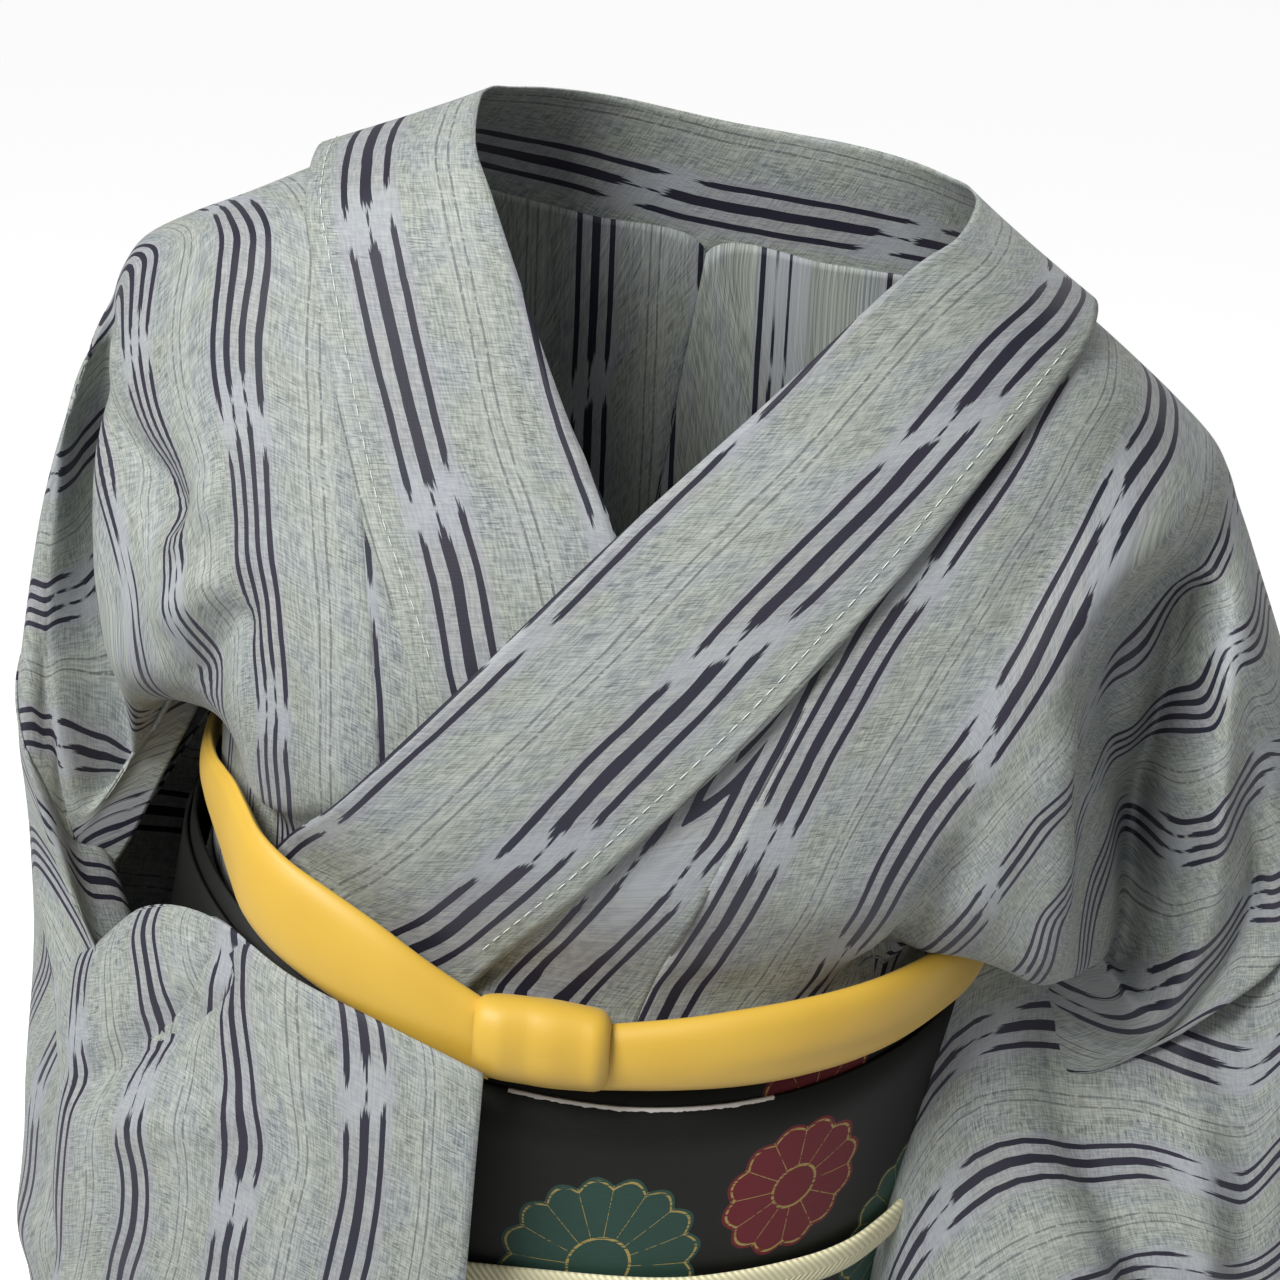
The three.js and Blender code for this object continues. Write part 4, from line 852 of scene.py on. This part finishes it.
silk_sheet(
    "left_overlap", "okumi_left", (-94, -102, -300), (-18, -106, -311),
    from_last=True, first_group=7.69, group_wide=-57.0, across=12,
    stripes=[(7.25, [(7.4, 1.5), (6.25, 1.6), (5, 1.6), (3.1, 1.5)])])
silk_sheet(
    "right_overlap", "okumi_right", (-29, -100, -304), (-98, -95, -294),
    from_last=True, first_group=6.12, group_wide=-GROUP, across=12)
collar_rows, collar_out = silk_sheet(
    "collar_band", "collar", (-36, -103, -309), (46, -86, -304), wall=COLLAR_WALL,
    across=12, from_last=True, first_group=0.15,
    stripes=[
        (1.25, [(29.75, 0.9), (32.75, 0.9), (34, 1), (35.4, 0.9), (36.9, 0.9), (37.75, 0.75), (39.25, 0.75),
                (13.1, 1.1), (11.9, 1), (10.5, 1), (8.9, 1), (7.5, 0.9), (6.4, 0.75)]),
        (0.75, [(29.5, 2.25), (31.1, 2.25), (32.9, 2.1), (34.4, 2.1), (35.9, 2), (37.4, 2), (38.9, 2),
                (12.75, 2.4), (10.75, 2.25), (9.25, 2.1), (6.75, 2)])])

silk_sheet("left_tuck", "tuck_left", (-38, 97, -275), (0, 96, -280), wall=TUCK_WALL,
           first_group=8.0)
silk_sheet("left_overlap_tuck", "okumi_left_tuck", (-59, -111, -314), (-169, -51, -267),
           wall=TUCK_WALL, first_group=5.2)
silk_sheet("right_tuck", "tuck_right", (-39, 97, -275), (-113, -97, -297),
           wall=TUCK_WALL, first_group=17.3)
silk_sheet("right_overlap_tuck", "okumi_right_tuck", (-112, -98, -298), (41, -92, -315),
           wall=TUCK_WALL, first_group=3.2)
silk_sheet("left_skirt", "skirt_left", (-58, 93, -442), (-20, 90, -442), down=12,
           first_group=8.3,
           folds=[(-6, 22, [(0.5, 4), (3, 4.5), (6, 4.2)]), (5, 20, [(0.5, 6), (4, 6.3), (7, 6)])])
silk_sheet("left_overlap_skirt", "okumi_left_skirt", (-101, -98, -438), (-120, -90, -438),
           down=12, first_group=5.2)
silk_sheet("right_skirt", "skirt_right", (-59, 93, -442), (-90, 85, -442), down=12,
           first_group=17.6, folds=[(-6, 22, [(0.5, 4.5), (3, 4.8), (6, 4.4)])])
silk_sheet("right_overlap_skirt", "okumi_right_skirt", (-18, -96, -446), (0, -92, -447),
           down=12, first_group=3.2)


def sleeve(side, start, beside, roll, first_group, line_groups, stripes, shifts, folds):
    """A sleeve is a tube of cloth, folded at the top. roll puts its first column at the bottom
    seam. line_groups is the groups from one line of the solid to the next, or None where they
    keep their real distance."""
    coarse, outward = tube_rows("sleeve_" + side, KIMONO_WALL, start, beside)
    coarse = eased(np.roll(coarse, -roll, axis=1), shifts)
    down, across = 10, 6
    rows = finer_cloth(coarse, down, across, closed=True)
    ring = joined_up(rows)
    wide = lengths_across(ring)
    top = (coarse.shape[1] - roll) % coarse.shape[1]
    along = wide - wide[:, top * across][:, None]
    if line_groups is None:
        from_first = lengths_down(ring)
    else:
        from_first = GROUP * line_groups * np.arange(len(ring)) / down
    loom = np.broadcast_to(GROUP * first_group + from_first[:, None], along.shape)
    loom = led(loom, [(GROUP * k, course) for k, course in stripes], down, across)
    rows = creased(rows, folds, down, across, outward, closed=True)
    cloth = np.stack([loom, along], axis=-1)
    piece = sheet_piece(side + "_sleeve", rows, cloth, closed=True, outward=outward)
    dress(piece, ["sleeve_" + side], PONGEE)


sleeve(
    "left", (255, -30, -230), (250, 10, -240), 12, first_group=12.9, line_groups=None,
    stripes=[
        (13.25, [(0.38, 14.2), (0.38, 16.7), (0, 17.8)]),
        (13.75, [(0.12, 4), (0.12, 3.3)]),
        (14.25, [(0.75, 6.2), (0.75, 4.8), (0.5, 3.3), (0.62, 3)]),
        (15.25, [(1.5, 6.7), (1.75, 6), (1.38, 4.2), (1.3, 3.3), (1.1, 2.3)]),
        (16.25, [(2.38, 6.7), (2.25, 4.8), (2.38, 3.7)])],
    shifts=[((-50, -55, 8), (0.8, 1.9), (3.2, 1.5)), ((-10, 0, 26), (0, 3.2), (1.0, 1.0)),
            ((-8, 38, 22), (0, 4.4), (0.9, 1.5))],
    folds=[
        (-13, 12, [(0, 3.7), (1, 3.8), (2.4, 3.9), (3.6, 3.6)]),
        (8, 11, [(0.3, 4.7), (1.5, 4.9), (3, 4.8)]),
        (-4, 9, [(1, 5.8), (2, 5.9), (3.6, 5.6)]),
        (-6, 16, [(2.6, 15), (4.5, 15.6), (7, 15)]),
        (5, 14, [(3, 17.8), (5, 18.2), (7, 17.6)])])
sleeve(
    "right", (-210, -30, -230), (-210, 10, -240), 5, first_group=21.54, line_groups=1 / 1.17,
    stripes=[
        (23.25, [(2.1, 12.2), (2, 13)]),
        (24.25, [(3.6, 9.2)]),
        (25.25, [(4.1, 7.2), (4, 16.2)]),
        (26.25, [(4.9, 12), (5.25, 12.8), (5.5, 13.2), (5.25, 15.3), (5.4, 16.3), (5.4, 17), (5.1, 17.7)]),
        (26.75, [(5.75, 14.3), (6, 15), (6.1, 15.7), (6, 16.5)]),
        (27.25, [(6.25, 11.8), (6.25, 12.7), (6.4, 13.3), (6.6, 13.8), (6.75, 14.3), (6.6, 15.2),
                 (6.5, 16.2)]),
        (27.75, [(7, 11.8), (7.1, 12.7), (7.25, 13.4), (7.35, 14), (7.25, 14.7), (7.2, 15.5)]),
        (28.25, [(7.75, 11.5), (7.9, 12.3), (7.9, 13.3), (7.9, 14.2), (7.9, 14.8)])],
    shifts=[((42, 42, 10), (1.0, 3), (2, 1.9)), ((0, 0, 20), (0, 3.8), (1.0, 1.6)),
            ((3, 0, 12), (9.3, 11), (1.7, 3.0))],
    folds=[
        (-7, 8, [(3.9, 13.8), (4.6, 14), (5.5, 13.5), (6, 12.7), (6.1, 12)]),
        (3, 9, [(4.6, 15.3), (6, 14.6), (7, 13.4)]),
        (-6, 16, [(2.6, 4), (4.5, 3.6), (7, 4)])])

# ---------------------------------------------------------------- basting threads

STITCH, STITCH_GAP, THREAD = 3.6, 2.0, 0.4
THREAD_LIFT = 0.35     # its middle, over the cloth


def one_stitch(ends, up, first):
    """A stitch through its two ends and its middle, four-sided and thinner at the ends. Its
    points, and its faces counted from first."""
    way = ends[2] - ends[0]
    aside = np.cross(way, up)
    aside = aside / np.linalg.norm(aside) * THREAD / 2
    up = np.cross(aside, way)
    up = up / np.linalg.norm(up) * THREAD / 2
    points = [middle + size * (aside * a + up * b) for middle, size in zip(ends, (0.6, 1.0, 0.6))
              for a, b in ((1, 0), (0, 1), (-1, 0), (0, -1))]
    faces = []
    for ring in (first, first + 4):
        for k in range(4):
            after = (k + 1) % 4
            faces.append([ring + k, ring + after, ring + 4 + after, ring + 4 + k])
    caps = [[first + k for k in (3, 2, 1, 0)], [first + 8 + k for k in range(4)]]
    return points, faces + caps


def stitches(name, rows, outward, runs):
    """Short straight stitches lying on the cloth. A run is the line and column where it starts,
    and where it ends, on the fine rows."""
    normal = normals_of(rows) * outward
    points, faces = [], []
    for start, end in runs:
        place = np.linspace(start, end, 400)
        line, column = place[:, 0].astype(int), np.rint(place[:, 1]).astype(int)
        course = finer((rows[line, column] + normal[line, column] * THREAD_LIFT)[::8], 8)
        far = np.concatenate([[0], np.cumsum(np.linalg.norm(np.diff(course, axis=0), axis=1))])
        for begin in np.arange(0.0, far[-1] - STITCH, STITCH + STITCH_GAP):
            ends = [np.array([np.interp(spot, far, course[:, k]) for k in range(3)])
                    for spot in (begin, begin + STITCH / 2, begin + STITCH)]
            more_points, more_faces = one_stitch(ends, normal[line[0], column[0]], len(points))
            points += more_points
            faces += more_faces
    mesh = bpy.data.meshes.new(name)
    mesh.from_pydata([tuple(np.array(p) * MM) for p in points], [], faces)
    piece = bpy.data.objects.new(name, mesh)
    bpy.context.scene.collection.objects.link(piece)
    piece.data.materials.append(COTTON)
    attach(piece, "root")


stitches("basting_threads", collar_rows, collar_out,
         [((29.5 * 6, 3), (39.5 * 6, 3)), ((6.5 * 6, 3), (14.5 * 6, 3))])

# ---------------------------------------------------------------- the belt


def belt_turn(name, node, start, beside, lift=0.0):
    """One turn of the belt. Its weave is placed round from the front and, below 0, down from its
    top edge. lift moves it, in mm."""
    coarse, outward = tube_rows(node, BELT_WALL, start, beside)
    rows = finer_cloth(coarse, 4, 5, closed=True)
    ring = joined_up(rows)
    front = ring[0, :, 1].argmin()
    around = lengths_across(ring)
    around = around - around[:, front][:, None]
    if ring[:, (front + 3) % len(ring[0]), 0].mean() <= ring[:, front, 0].mean():
        around = -around
    cloth = np.stack([around, lift - own_lengths(ring)], axis=-1)
    piece = sheet_piece(name, rows, cloth, closed=True, thick=BELT_THICK, outward=outward)
    dress(piece, [node], OBI_SILK)


def belt_fold(name, node, start, beside, shift, folds=()):
    """A folded part of the belt at the back. shift moves the weave round it, in mm."""
    coarse, outward = cloth_rows(node, BELT_WALL, start, beside)
    rows = finer_cloth(coarse, 6, 10)
    rows = creased(rows, folds, 6, 10, outward)
    cloth = np.stack([lengths_across(rows) + shift, -BELOW_SELVAGE - own_lengths(rows)], axis=-1)
    piece = sheet_piece(name, rows, cloth, thick=BELT_THICK, outward=outward)
    dress(piece, [node], OBI_SILK)


belt_turn("obi_first_turn", "obi_inner_turn", (-88, 100, -243), (-114, 92, -239), lift=-20.0)
belt_turn("obi_second_turn", "obi_outer_turn", (-117, 94, -246), (-139, 83, -243))
belt_fold("obi_bow_drum", "obi_drum", (-190, 86, -279), (107, 86, -321), -90.0,
          [(-5, 16, [(6, 1), (9, 1.1), (12, 1)]), (4, 18, [(6, 2.8), (9, 3), (12, 2.7)])])
belt_fold("obi_bow_tail", "obi_tail", (-191, 104, -310), (99, 104, -350), -160.0)
belt_fold("obi_hand_end_fold", "obi_hand_end", (-204, 127, -317), (110, 127, -359), -60.0)

# ---------------------------------------------------------------- the scarf and its knot


def scarf_stretch(name, node, start, wrinkles):
    """A stretch of the folded scarf; its first end goes in under the knot. wrinkles lie along it:
    their place round the roll, as a share of a turn, their depth in mm, how fast they drift
    round, and the shares of its length where they begin and end."""
    coarse = roll_rings(node, 8, start)
    coarse[0] += UNDER_KNOT * units(coarse[0] - coarse[1])
    rows = finer_cloth(coarse, 5, 5, closed=True)
    lines, columns = np.meshgrid(np.linspace(0, 1, rows.shape[0]), np.arange(rows.shape[1]) / rows.shape[1],
                                 indexing="ij")
    away = units(rows - rows.mean(axis=1, keepdims=True))
    dip = np.zeros(lines.shape)
    for place, deep, drift, begin, end in wrinkles:
        turn = (columns - place - drift * lines + 0.5) % 1.0 - 0.5
        fade = np.clip(np.minimum(lines - begin, end - lines) * 6, 0, 1)
        dip = dip - deep * fade * np.exp(-(turn / 0.035) ** 2)
    rows = rows + away * dip[..., None]
    ring = joined_up(rows)
    cloth = np.stack([lengths_across(ring), own_lengths(ring)], axis=-1)
    piece = sheet_piece(name, rows, cloth, closed=True, thick=WRAP_THICK, outward=way_out(rows, away))
    dress(piece, [node], SCARF_CREPE)


def wrapped_knot(name, node, long_way, tall, deep, tilt, finish, up=0.0, swell=()):
    """A band wrapped round: a short closed tube along long_way, flatter in front, drawn in at
    both ends. swell is soft ridges over it: height, place along it and width, in shares."""
    low, high = (np.array(v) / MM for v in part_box(node))
    middle = (low + high) / 2 + (0, 0, up)
    turns = np.linspace(0, 2 * math.pi, 49)[:-1]
    round_y = np.sign(np.cos(turns)) * np.abs(np.cos(turns)) ** 0.95
    round_z = np.sign(np.sin(turns)) * np.abs(np.sin(turns)) ** 0.9
    rows = []
    for place in [-0.5, -0.495, *np.linspace(-0.48, 0.48, 25), 0.495, 0.5]:
        shoulder = (1 - (abs(place) * 2) ** 14) ** 0.5 if abs(place) < 0.5 else 0.0
        size = (0.62 + 0.38 * shoulder) * (1 - 0.1 * (place * 2) ** 2)
        rise = sum(height * math.exp(-((place - at) / wide) ** 2) for height, at, wide in swell)
        x = np.full(len(turns), middle[0] + place * long_way)
        y = middle[1] - deep / 2 * size * round_y * (1 + rise)
        z = middle[2] + tall / 2 * size * round_z + place * long_way * math.tan(tilt)
        rows.append(np.stack([x, y, z], axis=-1))
    rows = np.array(rows)
    ring = joined_up(rows)
    cloth = np.stack([own_lengths(ring), lengths_across(ring)], axis=-1)
    outward = way_out(rows, rows - rows.mean(axis=1, keepdims=True))
    piece = sheet_piece(name, rows, cloth, closed=True, thick=WRAP_THICK, outward=outward)
    dress(piece, [node], finish)


scarf_stretch("obiage_left_stretch", "obiage_left", (-17, -127, -281),
              [(0.28, 1.6, 0.1, -0.2, 0.35), (0.45, 0.8, -0.1, 0.1, 0.9), (0.12, 0.8, 0.05, 0.3, 1.1)])
scarf_stretch("obiage_right_stretch", "obiage_right", (-58, -123, -275),
              [(0.3, 0.9, 0.1, -0.2, 0.5), (0.5, 0.8, -0.1, 0.2, 1.1), (0.1, 0.8, 0.05, 0.3, 1.1)])
wrapped_knot("obiage_knot_wrap", "obiage_knot", 46.0, 31.0, 21.0, math.radians(-4),
             SCARF_CREPE, up=3.6,
             swell=((0.09, -0.3, 0.08), (-0.04, -0.1, 0.05), (0.05, 0.08, 0.1), (0.1, 0.4, 0.06)))

# ---------------------------------------------------------------- the belt cord


def braid_cord(name, node, start, wide, thick):
    """The flat braid: its middle line and its lie come from the solid's rings."""
    rings = finer(roll_rings(node, 4, start), 4)
    middle = rings.mean(axis=1)
    flat_way, thin_way = (rings[:, k] - rings[:, k + 1] for k in (0, 1))
    if np.linalg.norm(flat_way, axis=1).mean() < np.linalg.norm(thin_way, axis=1).mean():
        flat_way, thin_way = thin_way, flat_way
    turns = np.linspace(0, 2 * math.pi, 25)[:-1]
    side = np.sign(np.cos(turns)) * np.abs(np.cos(turns)) ** 0.6 * wide / 2
    rise = np.sign(np.sin(turns)) * np.abs(np.sin(turns)) ** 0.8 * thick / 2
    away = units(flat_way)[:, None] * side[:, None] + units(thin_way)[:, None] * rise[:, None]
    rows = middle[:, None] + away
    far = np.concatenate([[0], np.cumsum(np.linalg.norm(np.diff(middle, axis=0), axis=1))])
    ring = np.concatenate([side, side[:1]])
    cloth = np.stack(np.broadcast_arrays(ring[None], far[:, None]), axis=-1)
    piece = sheet_piece(name, rows, cloth, closed=True, thick=0, outward=way_out(rows, away))
    dress(piece, [node], BRAID)


braid_cord("obijime_braid", "obijime", (-65, -122, -363), 12.0, 3.6)
wrapped_knot("obijime_square_knot", "obijime_knot", 34.0, 17.0, 7.0, 0.0, BRAID,
             swell=((0.2, -0.3, 0.1), (0.2, 0.3, 0.1)))

# ---------------------------------------------------------------- floor, light and camera

LOOKS_AT = Vector((-16.5, -60.0, -153.0)) * MM
CAMERA_AWAY = 1150 * MM
CAMERA_TURN, CAMERA_HEIGHT, CAMERA_TILT = (math.radians(v) for v in (3.0, 20.0, 3.0))
FILM_WIDTH = 36
LENS = 95.34


def add_camera():
    data = bpy.data.cameras.new("camera")
    data.sensor_width = FILM_WIDTH
    data.lens = LENS
    data.clip_end = 100
    camera = bpy.data.objects.new("camera", data)
    level = math.cos(CAMERA_HEIGHT)
    away = Vector((math.sin(CAMERA_TURN) * level, -math.cos(CAMERA_TURN) * level, math.sin(CAMERA_HEIGHT)))
    turned = away.to_track_quat("Z", "Y").to_matrix().to_4x4() @ Matrix.Rotation(CAMERA_TILT, 4, "Z")
    camera.matrix_world = Matrix.Translation(LOOKS_AT + away * CAMERA_AWAY) @ turned
    bpy.context.scene.collection.objects.link(camera)
    bpy.context.scene.camera = camera


def add_floor():
    half, height = 20.0, cad_box[0][2] - 4 * MM
    mesh = bpy.data.meshes.new("floor")
    mesh.from_pydata([(x * half, y * half, height) for x, y in ((-1, -1), (1, -1), (1, 1), (-1, 1))],
                     [], [(0, 1, 2, 3)])
    floor = bpy.data.objects.new("floor", mesh)
    made, _, skin = new_material("pale_floor_paint")
    skin.inputs["Base Color"].default_value = srgb("#FFFFFF")
    skin.inputs["Roughness"].default_value = 0.9
    skin.inputs["Emission Color"].default_value = srgb("#FFFFFF")
    skin.inputs["Emission Strength"].default_value = 0.62
    mesh.materials.append(made)
    bpy.context.scene.collection.objects.link(floor)
    floor.visible_diffuse = False      # the pale floor doesn't light the cloth from below


def add_softbox(name, place, size, watts):
    """A white softbox at place, aimed at the chest."""
    data = bpy.data.lights.new(name, "AREA")
    data.shape = "RECTANGLE"
    data.size, data.size_y = size
    data.energy = watts
    lamp = bpy.data.objects.new(name, data)
    lamp.location = place
    lamp.rotation_euler = (Vector(place) - Vector((0, 0, -0.2))).to_track_quat("Z", "Y").to_euler()
    bpy.context.scene.collection.objects.link(lamp)


def add_sky():
    world = bpy.data.worlds.new("studio")
    bpy.context.scene.world = world
    world.use_nodes = True
    sky = world.node_tree.nodes["Background"]
    sky.inputs["Color"].default_value = srgb("#FFFFFF")
    sky.inputs["Strength"].default_value = 0.32


bpy.context.scene.view_settings.view_transform = "Standard"
add_camera()
add_floor()
add_softbox("key", (-1.3, -1.6, 1.75), (1.3, 1.1), 90)
add_softbox("back", (0.6, 2.2, 1.6), (1.8, 1.2), 16)
add_sky()
